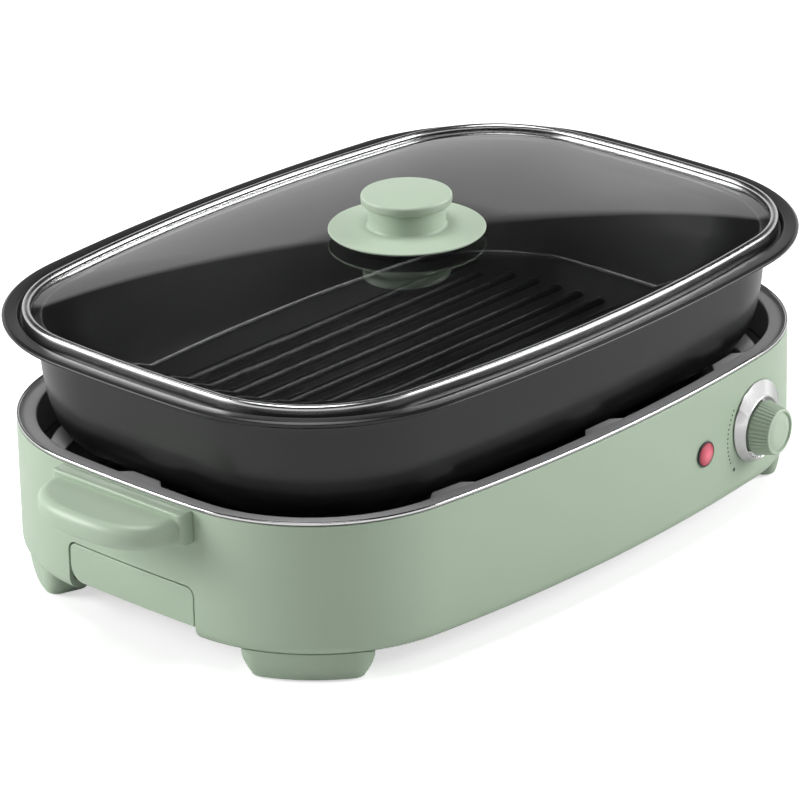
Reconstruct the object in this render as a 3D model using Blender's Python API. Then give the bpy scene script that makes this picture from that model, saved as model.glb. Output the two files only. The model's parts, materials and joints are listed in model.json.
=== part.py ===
# Smokeless electric grill: a green plastic base with a chrome trim line, a dark well ring and a
# heating element, a deep ribbed grill pan that lifts out, a glass lid with a steel rim and a knob,
# a drip drawer under the left handle and a temperature dial on the front.
# Metres, +Z up. X runs along the grill, the drawer is at -X and the dial is on the -Y side.
# The origin is on the ground under the middle of the base.

import math

import bmesh
import bpy
from mathutils import Matrix, Vector

# Shared clearances
GAP = 0.0003
OVERRUN = 0.002
MERGE = 0.00001
HALF = 0.5

# Plan of the base: a rounded rectangle with bowed sides
BASE_HALF_LENGTH = 0.200
BASE_HALF_WIDTH = 0.1381
BASE_CORNER = 0.0908
BASE_LONG_BOW = 0.924
BASE_SHORT_BOW = 1.194

# Plan of the pan's brim, which stands out past the base
PAN_END_OVERHANG = 0.0051
PAN_SIDE_OVERHANG = 0.0057
PAN_CORNER_OVERHANG = 0.0086
PAN_LONG_BOW = 1.021
PAN_SHORT_BOW = 1.036

# Plan of the lid's steel rim, which stands back from the brim
LID_END_SETBACK = 0.0129
LID_SIDE_SETBACK = 0.0134
LID_CORNER_SETBACK = 0.0266
LID_LONG_BOW = 0.859
LID_SHORT_BOW = 0.899

# Steps along each arc of a quarter of a plan
LONG_STEPS = 3
CORNER_STEPS = 8
SHORT_STEPS = 2

# Steps round turned pieces
LARGE_STEPS = 32
MEDIUM_STEPS = 20
SMALL_STEPS = 10

# Heights of the base
BODY_BOTTOM = 0.014
RIM_TOP = 0.085

# Housing shell and bottom ring
SHELL_WALL = 0.0026
SHELL_FILLET = 0.008
SHELL_FILLET_STEPS = 3
SHELL_LIP_WIDTH = 0.0006
SHELL_LIP_DROP = 0.0021
SHELL_SHELF_DROP = 0.0028
FLANGE_RIM_WIDTH = 0.0043
FLANGE_WIDTH = 0.0117
FLANGE_THICKNESS = 0.0022

# Screw bosses on the bottom ring, and taller pillars that carry the reflector
BOSS_RADIUS = 0.0042
BOSS_INSET = 0.0175
BOSS_HEIGHT = 0.014
FRONT_BOSS_X = (-0.090, 0.020)
BACK_BOSS_X = (-0.090, 0.090)
PILLAR_RADIUS = 0.0034
PILLAR_INSET = 0.0108
FRONT_PILLAR_X = (-0.060, 0.045)
BACK_PILLAR_X = (-0.060, 0.060)

# Chrome trim line
TRIM_WIDTH = 0.0014
TRIM_HEIGHT = 0.0014

# Well ring: the dark ledge inside the trim, with a skirt and locating tabs
LEDGE_DROP = 0.0015
LEDGE_START = 0.0009
LEDGE_WIDTH = 0.010
LEDGE_THICKNESS = 0.0025
LEDGE_LIP_THICKNESS = 0.001
SKIRT_WALL = 0.0016
SKIRT_DEPTH = 0.020
TAB_PITCH = 0.1037
TAB_BASE_WIDTH = 0.0284
TAB_TIP_WIDTH = 0.0180
TAB_DEPTH = 0.0045

# Heat reflector: a steel dish under the element
REFLECTOR_THICKNESS = 0.001
REFLECTOR_FLANGE_START = 0.007
REFLECTOR_FLANGE_END = 0.0145
REFLECTOR_DISH_START = 0.0215
REFLECTOR_DEPTH = 0.0065
DRIP_SLOT_LENGTH = 0.012
DRIP_SLOT_WIDTH = 0.050
DRIP_SLOT_INSET = 0.050

# Heating element: one bent tube
TUBE_RADIUS = 0.0035
TUBE_BEVEL_STEPS = 2
TUBE_ARC_STEPS = 5
TUBE_SIDE_INSET = 0.0761
TUBE_RUN_SPACING = 0.032
TUBE_LEG_INSET = 0.050
TUBE_FAR_INSET = 0.070
TUBE_CORNER = 0.030
TUBE_TURN_SETBACK = 0.050
TUBE_HAIRPIN_SETBACK = 0.060
TUBE_LEG_BEND = 0.010
TUBE_LEG_DROP = 0.014
TUBE_LEG_CLEARANCE = 0.0015

# Element brackets: grooved bars on the reflector
BRACKET_FAR_SETBACK = 0.085
BRACKET_TURN_SETBACK = 0.030
BRACKET_THICKNESS = 0.005
BRACKET_OVERHANG = 0.008

# Pan rests: posts on the reflector
REST_END_INSET = 0.075
REST_SIDE_INSET = 0.0521
REST_HEIGHT = 0.0137
REST_RADIUS = 0.006
REST_STEM_RADIUS = 0.0042
REST_FLANGE = 0.0018

# Grill pan
PAN_HEIGHT = 0.0665
BRIM_WIDTH = 0.0072
BRIM_EDGE = 0.0012
BRIM_THICKNESS = 0.0034
BRIM_SLOPE = 0.0005
SEAT_DEPTH = 0.0034
SEAT_WIDTH = 0.0085
PAN_WALL = 0.004
PAN_FLOOR_THICKNESS = 0.004
PAN_WALL_TOP_INSET = 0.0190
PAN_WALL_DRAFT = 0.0030
PAN_BEND_HEIGHT = 0.026
PAN_BEND_WIDTH = 0.0225
PAN_BEND_STEPS = 3
PAN_NECK_DROP = 0.008
RIB_PITCH = 0.0146
RIB_SIDE_INSET = 0.060
RIB_WIDTH = 0.0046
RIB_TOP_WIDTH = 0.0026
RIB_HEIGHT = 0.0035
RIB_ROOT = 0.0012
RIB_FIELD_INSET = 0.064

# Lid rim: a steel channel round the glass, with a rolled top edge
LID_RIM_HEIGHT = 0.0076
LID_RIM_WIDTH = 0.0043
LID_RIM_SHEET = 0.0008
LID_RIM_CROWN = 0.0014

# Lid glass
GLASS_THICKNESS = 0.0036
GLASS_RISE = 0.0128
GLASS_POWER_SHARE = 3.0
GLASS_RING_SHARES = (0.95, 0.85, 0.68, 0.40)

# Lid knob
KNOB_SKIRT_RADIUS = 0.0396
KNOB_SKIRT_EDGE = 0.0015
KNOB_NECK_RADIUS = 0.0194
KNOB_NECK_FILLET = 0.0016
KNOB_NECK_HEIGHT = 0.0121
KNOB_CAP_RADIUS = 0.0228
KNOB_CAP_HEIGHT = 0.0053
KNOB_CAP_CROWN = 0.0011
KNOB_CAP_ROUND = 0.0014
KNOB_BORE_RADIUS = 0.0024
GASKET_RADIUS = 0.030
GASKET_THICKNESS = 0.00255
GASKET_BORE = 0.0062
GLASS_HOLE_RADIUS = 0.0045
LID_SCREW_RADIUS = 0.0020
LID_SCREW_HEAD_RADIUS = 0.0046
LID_SCREW_HEAD = 0.0024
LID_WASHER_RADIUS = 0.0085
LID_WASHER_THICKNESS = 0.0012

# End handles
HANDLE_HALF_WIDTH = 0.0441
HANDLE_BLOCK_REACH = 0.0072
HANDLE_BLOCK_TOP_DROP = 0.0025
HANDLE_BLOCK_HEIGHT = 0.0165
HANDLE_BLOCK_ROUND = 0.003
EAR_REACH = 0.0275
EAR_STEP = 0.0026
EAR_THICKNESS = 0.0135
EAR_HALF_WIDTH = 0.0425
EAR_ROUND = 0.0042
EAR_POWER_SHARE = 2.5
EAR_STEPS = 16
HANDLE_SCREW_Y = 0.026
HANDLE_SCREW_DROP = 0.0110

# Drip drawer
DRAWER_HALF_WIDTH = 0.0419
DRAWER_DROP = 0.0438
DRAWER_HEIGHT = 0.0197
DRAWER_TOP_ROUND = 0.004
DRAWER_LOW_ROUND = 0.008
DRAWER_FRONT_THICKNESS = 0.003
DRAWER_RECESS = 0.0006
DRAWER_GAP = 0.0006
TRAY_HALF_WIDTH = 0.0375
TRAY_LENGTH = 0.140
TRAY_WALL = 0.0016
TRAY_BOTTOM_LIFT = 0.0025
TRAY_TOP_DROP = 0.0012
RUNNER_WIDTH = 0.0032
RUNNER_THICKNESS = 0.002
RUNNER_DROP = 0.006
RAIL_WIDTH = 0.006
RAIL_SPARE = 0.0036
NOTCH_DEPTH = 0.042

# Feet and their pads
FOOT_START_DEG = 14.9
FOOT_END_DEG = 61.3
FOOT_STEPS = 5
FOOT_TOP_INSET = 0.003
FOOT_DRAFT = 0.0022
FOOT_WIDTH = 0.026
PAD_HEIGHT = 0.0015
PAD_RADIUS = 0.0085
PAD_SEAT_DEPTH = 0.0012

# Bottom cover
COVER_THICKNESS = 0.002
COVER_SLOT_LENGTH = 0.040
COVER_SLOT_WIDTH = 0.004
COVER_SLOT_PITCH = 0.014
COVER_SLOT_COUNT = 5
COVER_SLOT_X = 0.060

# Self-tapping screws
SCREW_RADIUS = 0.0016
SCREW_HEAD_RADIUS = 0.0032
SCREW_HEAD = 0.0018
COVER_SCREW_LENGTH = 0.010
HANDLE_SCREW_LENGTH = 0.0085

# Indicator lamp
LENS_SPACING = 0.0462
LENS_DROP = 0.037
LENS_RADIUS = 0.0067
LENS_FLANGE = 0.0008
LENS_CROWN = 0.0012
LENS_BARREL_RADIUS = 0.0058
LENS_WALL = 0.001
LENS_BARREL_LENGTH = 0.011
LAMP_LENGTH = 0.013

# Temperature dial
DIAL_INSET = 0.085
DIAL_DROP = 0.0383
BEZEL_BASE_RADIUS = 0.0215
BEZEL_BASE_RISE = 0.0030
BEZEL_EDGE = 0.0005
BEZEL_REACH = 0.0040
BEZEL_FACE_RADIUS = 0.0166
BEZEL_CUP_RADIUS = 0.0153
BEZEL_CUP_DEPTH = 0.0022
KNOB_BASE_RADIUS = 0.0146
KNOB_END_RADIUS = 0.0118
KNOB_LENGTH = 0.0123
KNOB_RING_RADIUS = 0.0104
KNOB_RING_DEPTH = 0.0005
KNOB_FLUTE_DEPTH = 0.0005
KNOB_SHOULDER = 0.0008
SHAFT_RADIUS = 0.003
SHAFT_INSIDE = 0.0125
SHAFT_IN_KNOB = 0.0085
BUSHING_RADIUS = 0.005

# Thermostat behind the dial
THERMOSTAT_WIDTH = 0.028
THERMOSTAT_ABOVE = 0.0068
THERMOSTAT_BELOW = 0.0107
THERMOSTAT_DEPTH = 0.017
THERMOSTAT_PLATE = 0.0012
THERMOSTAT_PLATE_WIDTH = 0.032
THERMOSTAT_STANDOFF = 0.001

# Power inlet in the back wall
INLET_WIDTH = 0.024
INLET_HEIGHT = 0.017
INLET_DROP = 0.0405
INLET_FLANGE = 0.002
INLET_FLANGE_THICKNESS = 0.0014
INLET_DEPTH = 0.020
INLET_WALL = 0.002
INLET_RECESS = 0.015
PIN_LENGTH = 0.0245
PIN_WIDTH = 0.004
PIN_THICKNESS = 0.002
PIN_PITCH = 0.007
PIN_RISE = 0.002
PIN_TAIL = 0.005

# Thermal fuse and terminal block
FUSE_RADIUS = 0.0036
FUSE_LENGTH = 0.016
FUSE_SETBACK = 0.040
FUSE_CLIP_WIDTH = 0.006
FUSE_CLIP_SHEET = 0.0008
BLOCK_X = -0.034
BLOCK_INSET = 0.0581
BLOCK_LENGTH = 0.040
BLOCK_WIDTH = 0.016
BLOCK_HEIGHT = 0.013

# Internal leads
LEAD_RADIUS = 0.0014
LEAD_BEVEL_STEPS = 1
LEAD_ROUNDS = 2
LEAD_CORNER_SHARE = 0.25
LEAD_LIFT = 0.0055
LEAD_STRAIGHT = 0.010
LEAD_WEST_SETBACK = 0.035
LEAD_EAST_SETBACK = 0.005
LEAD_CROSS_Y = 0.040
LEAD_END_GAP = 0.0004


class Plan:
    """A bowed rounded rectangle: three tangent arcs in each quarter."""

    def __init__(self, half_length, half_width, corner, long_bow, short_bow):
        self.corner = corner
        self.long_bow = long_bow
        self.short_bow = short_bow
        self.long_centre = Vector((0, half_width - long_bow))
        self.short_centre = Vector((half_length - short_bow, 0))
        across = self.short_centre - self.long_centre
        from_long = long_bow - corner
        from_short = short_bow - corner
        along = (from_long**2 - from_short**2 + across.length_squared) / (2 * across.length)
        side = math.sqrt(from_long**2 - along**2)
        unit = across.normalized()
        self.corner_centre = self.long_centre + unit * along + Vector((unit.y, -unit.x)) * side
        to_long = self.corner_centre - self.long_centre
        to_short = self.corner_centre - self.short_centre
        self.long_angle = math.atan2(to_long.y, to_long.x)
        self.short_angle = math.atan2(to_short.y, to_short.x)

    def quarter(self, inset):
        """Points of the first quarter, from +X to +Y, each arc reduced by the inset."""
        arcs = (
            (self.short_centre, self.short_bow, 0, self.short_angle, SHORT_STEPS),
            (self.corner_centre, self.corner, self.short_angle, self.long_angle, CORNER_STEPS),
            (self.long_centre, self.long_bow, self.long_angle, math.pi / 2, LONG_STEPS),
        )
        points = []
        for centre, radius, start, end, steps in arcs:
            for i in range(steps):
                angle = start + (end - start) * i / steps
                points.append(centre + Vector((math.cos(angle), math.sin(angle))) * (radius - inset))
        points.append(self.long_centre + Vector((0, self.long_bow - inset)))
        return points

    def loop(self, inset=0.0, share=1.0):
        """The whole outline, counter-clockwise, offset inwards and then scaled by the share."""
        first = self.quarter(inset)
        second = [Vector((-p.x, p.y)) for p in reversed(first)][1:]
        upper = first + second
        lower = [Vector((p.x, -p.y)) for p in reversed(upper)][1:-1]
        return [p * share for p in upper + lower]

    def arc_at(self, x):
        """Centre and radius of the arc that the long side follows at x: the bow, or the corner past it."""
        if abs(x) <= self.long_bow * math.cos(self.long_angle):
            return self.long_centre, self.long_bow
        return self.corner_centre, self.corner

    def side_y(self, x, inset=0.0):
        """Half-width of the outline at x, on the long side."""
        centre, radius = self.arc_at(x)
        return centre.y + math.sqrt((radius - inset) ** 2 - (abs(x) - centre.x) ** 2)

    def end_x(self, y, inset=0.0):
        """Half-length of the outline at y, from its points."""
        points = self.quarter(inset)
        for a, b in zip(points, points[1:]):
            if a.y <= abs(y) <= b.y:
                return a.x + (b.x - a.x) * (abs(y) - a.y) / (b.y - a.y)
        return points[0].x

    def side_frame(self, x, z):
        """A frame on the front wall at x: its local Z points out of the wall, its local Y up."""
        centre, radius = self.arc_at(x)
        lean = math.asin((x - math.copysign(centre.x, x)) / radius)
        outward = Vector((math.sin(lean), -math.cos(lean), 0))
        up = Vector((0, 0, 1))
        right = up.cross(outward)
        place = Vector((x, -self.side_y(x), z))
        return Matrix.Translation(place) @ Matrix((right, up, outward)).transposed().to_4x4()


# Plans of the pan and the lid, which follow the base
PAN_HALF_LENGTH = BASE_HALF_LENGTH + PAN_END_OVERHANG
PAN_HALF_WIDTH = BASE_HALF_WIDTH + PAN_SIDE_OVERHANG
PAN_CORNER = BASE_CORNER + PAN_CORNER_OVERHANG
LID_HALF_LENGTH = PAN_HALF_LENGTH - LID_END_SETBACK
LID_HALF_WIDTH = PAN_HALF_WIDTH - LID_SIDE_SETBACK
LID_CORNER = PAN_CORNER - LID_CORNER_SETBACK

BASE = Plan(BASE_HALF_LENGTH, BASE_HALF_WIDTH, BASE_CORNER, BASE_LONG_BOW, BASE_SHORT_BOW)
PAN = Plan(PAN_HALF_LENGTH, PAN_HALF_WIDTH, PAN_CORNER, PAN_LONG_BOW, PAN_SHORT_BOW)
LID = Plan(LID_HALF_LENGTH, LID_HALF_WIDTH, LID_CORNER, LID_LONG_BOW, LID_SHORT_BOW)

# Heights that follow from the sizes above
SHELL_TOP = RIM_TOP - SHELL_LIP_DROP
SHELL_SHELF = RIM_TOP - SHELL_SHELF_DROP
FLANGE_INSET = SHELL_FILLET + FLANGE_RIM_WIDTH
FLANGE_BOTTOM = BODY_BOTTOM + COVER_THICKNESS + GAP
FLANGE_TOP = FLANGE_BOTTOM + FLANGE_THICKNESS
BOTTOM_RING_TOP = FLANGE_TOP + SHELL_FILLET - SHELL_WALL
COVER_TOP = BODY_BOTTOM + COVER_THICKNESS
LEDGE_TOP = RIM_TOP - LEDGE_DROP
SKIRT_BOTTOM = LEDGE_TOP - SKIRT_DEPTH
REFLECTOR_TOP = SKIRT_BOTTOM - GAP
REFLECTOR_FLOOR = REFLECTOR_TOP - REFLECTOR_DEPTH
REFLECTOR_UNDER = REFLECTOR_FLOOR - REFLECTOR_THICKNESS
PILLAR_TOP = REFLECTOR_TOP - REFLECTOR_THICKNESS - GAP
PAN_BOTTOM = REFLECTOR_FLOOR + GAP + REST_HEIGHT + GAP
PAN_FLOOR_TOP = PAN_BOTTOM + PAN_FLOOR_THICKNESS
BRIM_TOP = PAN_BOTTOM + PAN_HEIGHT
TUBE_Z = PAN_BOTTOM - GAP - TUBE_RADIUS
SEAT_TOP = BRIM_TOP - BRIM_SLOPE - SEAT_DEPTH
SEAT_INSET = BRIM_WIDTH + SEAT_WIDTH
LID_BOTTOM = SEAT_TOP + GAP
LID_RIM_TOP = LID_BOTTOM + LID_RIM_HEIGHT
GLASS_EDGE_BOTTOM = LID_BOTTOM + LID_RIM_SHEET + GAP
GLASS_EDGE_TOP = GLASS_EDGE_BOTTOM + GLASS_THICKNESS
GLASS_EDGE_INSET = LID_RIM_SHEET + GAP
GLASS_TOP = GLASS_EDGE_TOP + GLASS_RISE
GLASS_UNDER = GLASS_EDGE_BOTTOM + GLASS_RISE
GASKET_BOTTOM = GLASS_TOP + GAP
GASKET_TOP = GASKET_BOTTOM + GASKET_THICKNESS
KNOB_UNDER = GASKET_TOP + GAP
KNOB_SKIRT_LOW = KNOB_UNDER + KNOB_SKIRT_EDGE * HALF
KNOB_SKIRT_TOP = KNOB_SKIRT_LOW + KNOB_SKIRT_EDGE
KNOB_NECK_TOP = KNOB_SKIRT_TOP + KNOB_NECK_HEIGHT
KNOB_CAP_LOW = KNOB_NECK_TOP + GAP
KNOB_CAP_TOP = KNOB_CAP_LOW + KNOB_CAP_HEIGHT
HANDLE_BLOCK_TOP = RIM_TOP - HANDLE_BLOCK_TOP_DROP
HANDLE_BLOCK_BOTTOM = HANDLE_BLOCK_TOP - HANDLE_BLOCK_HEIGHT
EAR_TOP = HANDLE_BLOCK_TOP - EAR_STEP
HANDLE_SCREW_Z = RIM_TOP - HANDLE_SCREW_DROP
DRAWER_TOP = RIM_TOP - DRAWER_DROP
DRAWER_BOTTOM = DRAWER_TOP - DRAWER_HEIGHT
TRAY_BOTTOM = DRAWER_BOTTOM + TRAY_BOTTOM_LIFT
TRAY_TOP = DRAWER_TOP - TRAY_TOP_DROP
RUNNER_TOP = TRAY_TOP - RUNNER_DROP
DIAL_Z = RIM_TOP - DIAL_DROP
LENS_Z = RIM_TOP - LENS_DROP
INLET_Z = RIM_TOP - INLET_DROP
LEAD_FLOOR_Z = COVER_TOP + LEAD_LIFT
THERMOSTAT_REAR = -SHELL_WALL - THERMOSTAT_STANDOFF - THERMOSTAT_PLATE - GAP - THERMOSTAT_DEPTH

# Places that follow from the length and width of the base
TRAY_FRONT_X = -BASE.end_x(TRAY_HALF_WIDTH, DRAWER_RECESS + DRAWER_FRONT_THICKNESS + GAP)
TRAY_BACK_X = TRAY_FRONT_X + TRAY_LENGTH
RAIL_FRONT_X = NOTCH_DEPTH - BASE_HALF_LENGTH
RAIL_BACK_X = TRAY_BACK_X + RAIL_SPARE
DIAL_X = BASE_HALF_LENGTH - DIAL_INSET
LENS_X = DIAL_X - LENS_SPACING
DRIP_SLOT_X = DRIP_SLOT_INSET - BASE_HALF_LENGTH
REST_X = BASE_HALF_LENGTH - REST_END_INSET
REST_Y = BASE_HALF_WIDTH - REST_SIDE_INSET
TUBE_OUTER_RUN_Y = BASE_HALF_WIDTH - TUBE_SIDE_INSET
TUBE_INNER_RUN_Y = TUBE_OUTER_RUN_Y - TUBE_RUN_SPACING
TUBE_END_X = BASE_HALF_LENGTH - TUBE_LEG_INSET
TUBE_FAR_X = TUBE_FAR_INSET - BASE_HALF_LENGTH
TUBE_TURN_X = TUBE_END_X - TUBE_TURN_SETBACK
TUBE_INNER_TURN_X = TUBE_FAR_X + TUBE_HAIRPIN_SETBACK
BRACKET_XS = (TUBE_FAR_X + BRACKET_FAR_SETBACK, TUBE_TURN_X - BRACKET_TURN_SETBACK)
FUSE_X = TUBE_TURN_X - FUSE_SETBACK
FUSE_Y = -(TUBE_OUTER_RUN_Y + TUBE_INNER_RUN_Y) * HALF
BLOCK_Y = BASE_HALF_WIDTH - BLOCK_INSET
LEAD_WEST_X = DIAL_X - LEAD_WEST_SETBACK
LEAD_EAST_X = DIAL_X - LEAD_EAST_SETBACK


# Modelling helpers


def material(name, colour, roughness, metallic=0.0, alpha=1.0):
    made = bpy.data.materials.new(name)
    made.use_nodes = True
    shader = made.node_tree.nodes["Principled BSDF"]
    shader.inputs["Base Color"].default_value = (*colour, 1)
    shader.inputs["Roughness"].default_value = roughness
    shader.inputs["Metallic"].default_value = metallic
    shader.inputs["Alpha"].default_value = alpha
    made.diffuse_color = (*colour, alpha)
    return made


def add_loop(bm, points):
    """A closed loop of edges through the points."""
    verts = [bm.verts.new(p) for p in points]
    for a, b in zip(verts, verts[1:] + verts[:1]):
        bm.edges.new((a, b))
    return verts


def loop_edges(bm, verts):
    return [bm.edges.get(pair) for pair in zip(verts, verts[1:] + verts[:1])]


def extend(bm, verts, points):
    """Extrude a loop of vertices and move the new loop onto the points."""
    made = bmesh.ops.extrude_edge_only(bm, edges=loop_edges(bm, verts))["geom"]
    new = {item for item in made if isinstance(item, bmesh.types.BMVert)}
    moved = []
    for vert, point in zip(verts, points):
        twin = next(e.other_vert(vert) for e in vert.link_edges if e.other_vert(vert) in new)
        twin.co = point
        moved.append(twin)
    return moved


def loft(loops, closed=False):
    """A skin through loops of points that match one to one. A closed one ends on its first loop,
    any other is filled at both ends."""
    bm = bmesh.new()
    first = last = add_loop(bm, loops[0])
    for points in loops[1:] + (loops[:1] if closed else []):
        last = extend(bm, last, points)
    if closed:
        bmesh.ops.remove_doubles(bm, verts=bm.verts, dist=MERGE)
    else:
        for verts in (first, last):
            bmesh.ops.edgeloop_fill(bm, edges=loop_edges(bm, verts))
    return bm


def plan_loops(plan, section):
    """One loop for each (inset, height) of the section."""
    return [[(p.x, p.y, z) for p in plan.loop(inset)] for inset, z in section]


def ring_mesh(plan, section):
    """A ring: the closed section carried round the plan."""
    return loft(plan_loops(plan, section), closed=True)


def dish_mesh(plan, section):
    """A dish or plate: the section carried round the plan, with its first and last loops filled."""
    return loft(plan_loops(plan, section))


def turned_mesh(section, steps, closed=False):
    """A section of (radius, height) turned about Z. An open one starts and ends on the axis."""
    bm = bmesh.new()
    verts = [bm.verts.new((radius, 0, z)) for radius, z in section]
    pairs = list(zip(verts, verts[1:]))
    if closed:
        pairs.append((verts[-1], verts[0]))
    edges = [bm.edges.new(pair) for pair in pairs]
    bmesh.ops.spin(
        bm,
        geom=verts + edges,
        cent=(0, 0, 0),
        axis=(0, 0, 1),
        angle=2 * math.pi,
        steps=steps,
        use_merge=True,
    )
    bmesh.ops.remove_doubles(bm, verts=bm.verts, dist=MERGE)
    return bm


def box_mesh(low, high):
    """A box between two corners."""
    bm = bmesh.new()
    bmesh.ops.create_cube(bm, size=1)
    low, high = Vector(low), Vector(high)
    bmesh.ops.scale(bm, vec=high - low, verts=bm.verts)
    bmesh.ops.translate(bm, vec=(low + high) * HALF, verts=bm.verts)
    return bm


def bevel(bm, edges, radius, segments):
    bmesh.ops.bevel(
        bm,
        geom=edges,
        offset=radius,
        offset_type="OFFSET",
        segments=segments,
        profile=0.5,
        affect="EDGES",
        material=-1,
    )


def prism_mesh(points, low, high):
    """An upright prism over a list of (x, y)."""
    bm = bmesh.new()
    verts = [bm.verts.new((x, y, low)) for x, y in points]
    face = bm.faces.new(verts)
    raised = bmesh.ops.extrude_face_region(bm, geom=[face])["geom"]
    top = [g for g in raised if isinstance(g, bmesh.types.BMVert)]
    bmesh.ops.translate(bm, vec=(0, 0, high - low), verts=top)
    return bm


def place(bm, matrix):
    bmesh.ops.transform(bm, matrix=matrix, verts=bm.verts)
    return bm


def merge_meshes(parts):
    """Several closed meshes in one bmesh, for use as one cutter or one union."""
    whole = bmesh.new()
    for part in parts:
        mesh = bpy.data.meshes.new("part")
        part.to_mesh(mesh)
        part.free()
        whole.from_mesh(mesh)
        bpy.data.meshes.remove(mesh)
    return whole


def piece(name, bm, finish, parent=None, frame=None):
    """A finished sub-part. With a frame, the mesh is in that frame's own coordinates."""
    bmesh.ops.recalc_face_normals(bm, faces=bm.faces)
    mesh = bpy.data.meshes.new(name)
    bm.to_mesh(mesh)
    bm.free()
    mesh.shade_smooth()
    mesh.set_sharp_from_angle(angle=math.radians(40))
    made = bpy.data.objects.new(name, mesh)
    bpy.context.scene.collection.objects.link(made)
    if finish is not None:
        mesh.materials.append(finish)
    if frame is not None:
        made.matrix_world = frame
    if parent is not None:
        made.parent = parent
        made.matrix_parent_inverse = parent.matrix_world.inverted()
    return made


def guide(name, matrix):
    """An empty that carries pieces which move together."""
    made = bpy.data.objects.new(name, None)
    bpy.context.scene.collection.objects.link(made)
    made.matrix_world = matrix
    bpy.context.view_layer.update()
    return made


def combine(target, bm, operation, name, frame=None):
    """A Boolean with a hidden helper."""
    helper = piece(name, bm, None, frame=frame)
    helper.hide_render = True
    helper.display_type = "WIRE"
    modifier = target.modifiers.new(name, "BOOLEAN")
    modifier.operation = operation
    modifier.object = helper
    modifier.solver = "EXACT"


def cut(target, bm, name, frame=None):
    combine(target, bm, "DIFFERENCE", name, frame)


def join(target, bm, name, frame=None):
    combine(target, bm, "UNION", name, frame)


def arc(centre, radius_x, radius_y, start, end, steps):
    """Points on an elliptical arc, both ends included. Angles in degrees."""
    points = []
    for i in range(steps + 1):
        angle = math.radians(start + (end - start) * i / steps)
        points.append((centre[0] + radius_x * math.cos(angle), centre[1] + radius_y * math.sin(angle)))
    return points


def boss_places():
    """Front and back places of the cover's screws."""
    front = [(x, -BASE.side_y(x, BOSS_INSET)) for x in FRONT_BOSS_X]
    back = [(x, BASE.side_y(x, BOSS_INSET)) for x in BACK_BOSS_X]
    return front + back


def pillar_places():
    front = [(x, -BASE.side_y(x, PILLAR_INSET)) for x in FRONT_PILLAR_X]
    back = [(x, BASE.side_y(x, PILLAR_INSET)) for x in BACK_PILLAR_X]
    return front + back


# Base: the shell and what closes it


def drawer_opening(grow, bottom, low_x, high_x):
    """A rounded block through the left wall, over the drawer front's outline grown all round."""
    half = DRAWER_HALF_WIDTH + grow
    top = DRAWER_TOP + grow
    radius = DRAWER_TOP_ROUND + grow
    bm = box_mesh((low_x, -half, bottom), (high_x, half, top))
    edges = [
        e
        for e in bm.edges
        if all(v.co.z > top - MERGE for v in e.verts) and abs(e.verts[0].co.y - e.verts[1].co.y) < MERGE
    ]
    bevel(bm, edges, radius, 3)
    return bm


def housing_shell(finish):
    """The outer wall, down to the bottom ring."""
    low = BOTTOM_RING_TOP + GAP
    section = [
        (0, low),
        (0, SHELL_TOP),
        (SHELL_LIP_WIDTH, SHELL_TOP),
        (SHELL_LIP_WIDTH, SHELL_SHELF),
        (SHELL_WALL, SHELL_SHELF),
        (SHELL_WALL, low),
    ]
    shell = piece("housing_shell", ring_mesh(BASE, section), finish)
    cut(shell, drawer_notch(), "wall_notch")
    cut(shell, shell_holes(), "shell_holes")


def drawer_notch():
    return drawer_opening(
        DRAWER_GAP,
        BODY_BOTTOM - OVERRUN,
        -BASE_HALF_LENGTH - OVERRUN,
        -BASE_HALF_LENGTH + NOTCH_DEPTH,
    )


def housing_bottom_ring(finish):
    """The rounded lower edge of the housing, with the flange, the screw bosses and the pillars."""
    inner_fillet = SHELL_FILLET - SHELL_WALL
    outer = arc(
        (SHELL_FILLET, BODY_BOTTOM + SHELL_FILLET), SHELL_FILLET, SHELL_FILLET, 180, 270, SHELL_FILLET_STEPS
    )
    inner = arc(
        (SHELL_WALL + inner_fillet, FLANGE_TOP + inner_fillet),
        inner_fillet,
        inner_fillet,
        270,
        180,
        SHELL_FILLET_STEPS - 1,
    )
    section = [(0, BOTTOM_RING_TOP)] + outer
    section += [
        (FLANGE_INSET, BODY_BOTTOM),
        (FLANGE_INSET, FLANGE_BOTTOM),
        (FLANGE_INSET + FLANGE_WIDTH, FLANGE_BOTTOM),
        (FLANGE_INSET + FLANGE_WIDTH, FLANGE_TOP),
    ]
    ring = piece("housing_bottom_ring", ring_mesh(BASE, section + inner), finish)
    join(ring, boss_mesh(), "ring_bosses")
    cut(ring, drawer_notch(), "ring_notch")
    holes = []
    for x, y in boss_places():
        top = FLANGE_BOTTOM + COVER_SCREW_LENGTH
        hole = bored(SCREW_RADIUS + GAP, BODY_BOTTOM, top)
        holes.append(place(hole, Matrix.Translation((x, y, 0))))
    cut(ring, merge_meshes(holes), "ring_screw_holes")


def boss_mesh():
    low = FLANGE_BOTTOM + FLANGE_THICKNESS * HALF
    high = FLANGE_TOP + BOSS_HEIGHT
    parts = [place(bored(BOSS_RADIUS, low, high), Matrix.Translation((x, y, 0))) for x, y in boss_places()]
    for x, y in pillar_places():
        parts.append(place(bored(PILLAR_RADIUS, low, PILLAR_TOP), Matrix.Translation((x, y, 0))))
    return merge_meshes(parts)


def bored(radius, low, high):
    """A plain cylinder along Z, for pins and for holes."""
    return turned_mesh([(0, high), (radius, high), (radius, low), (0, low)], SMALL_STEPS)


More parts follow.
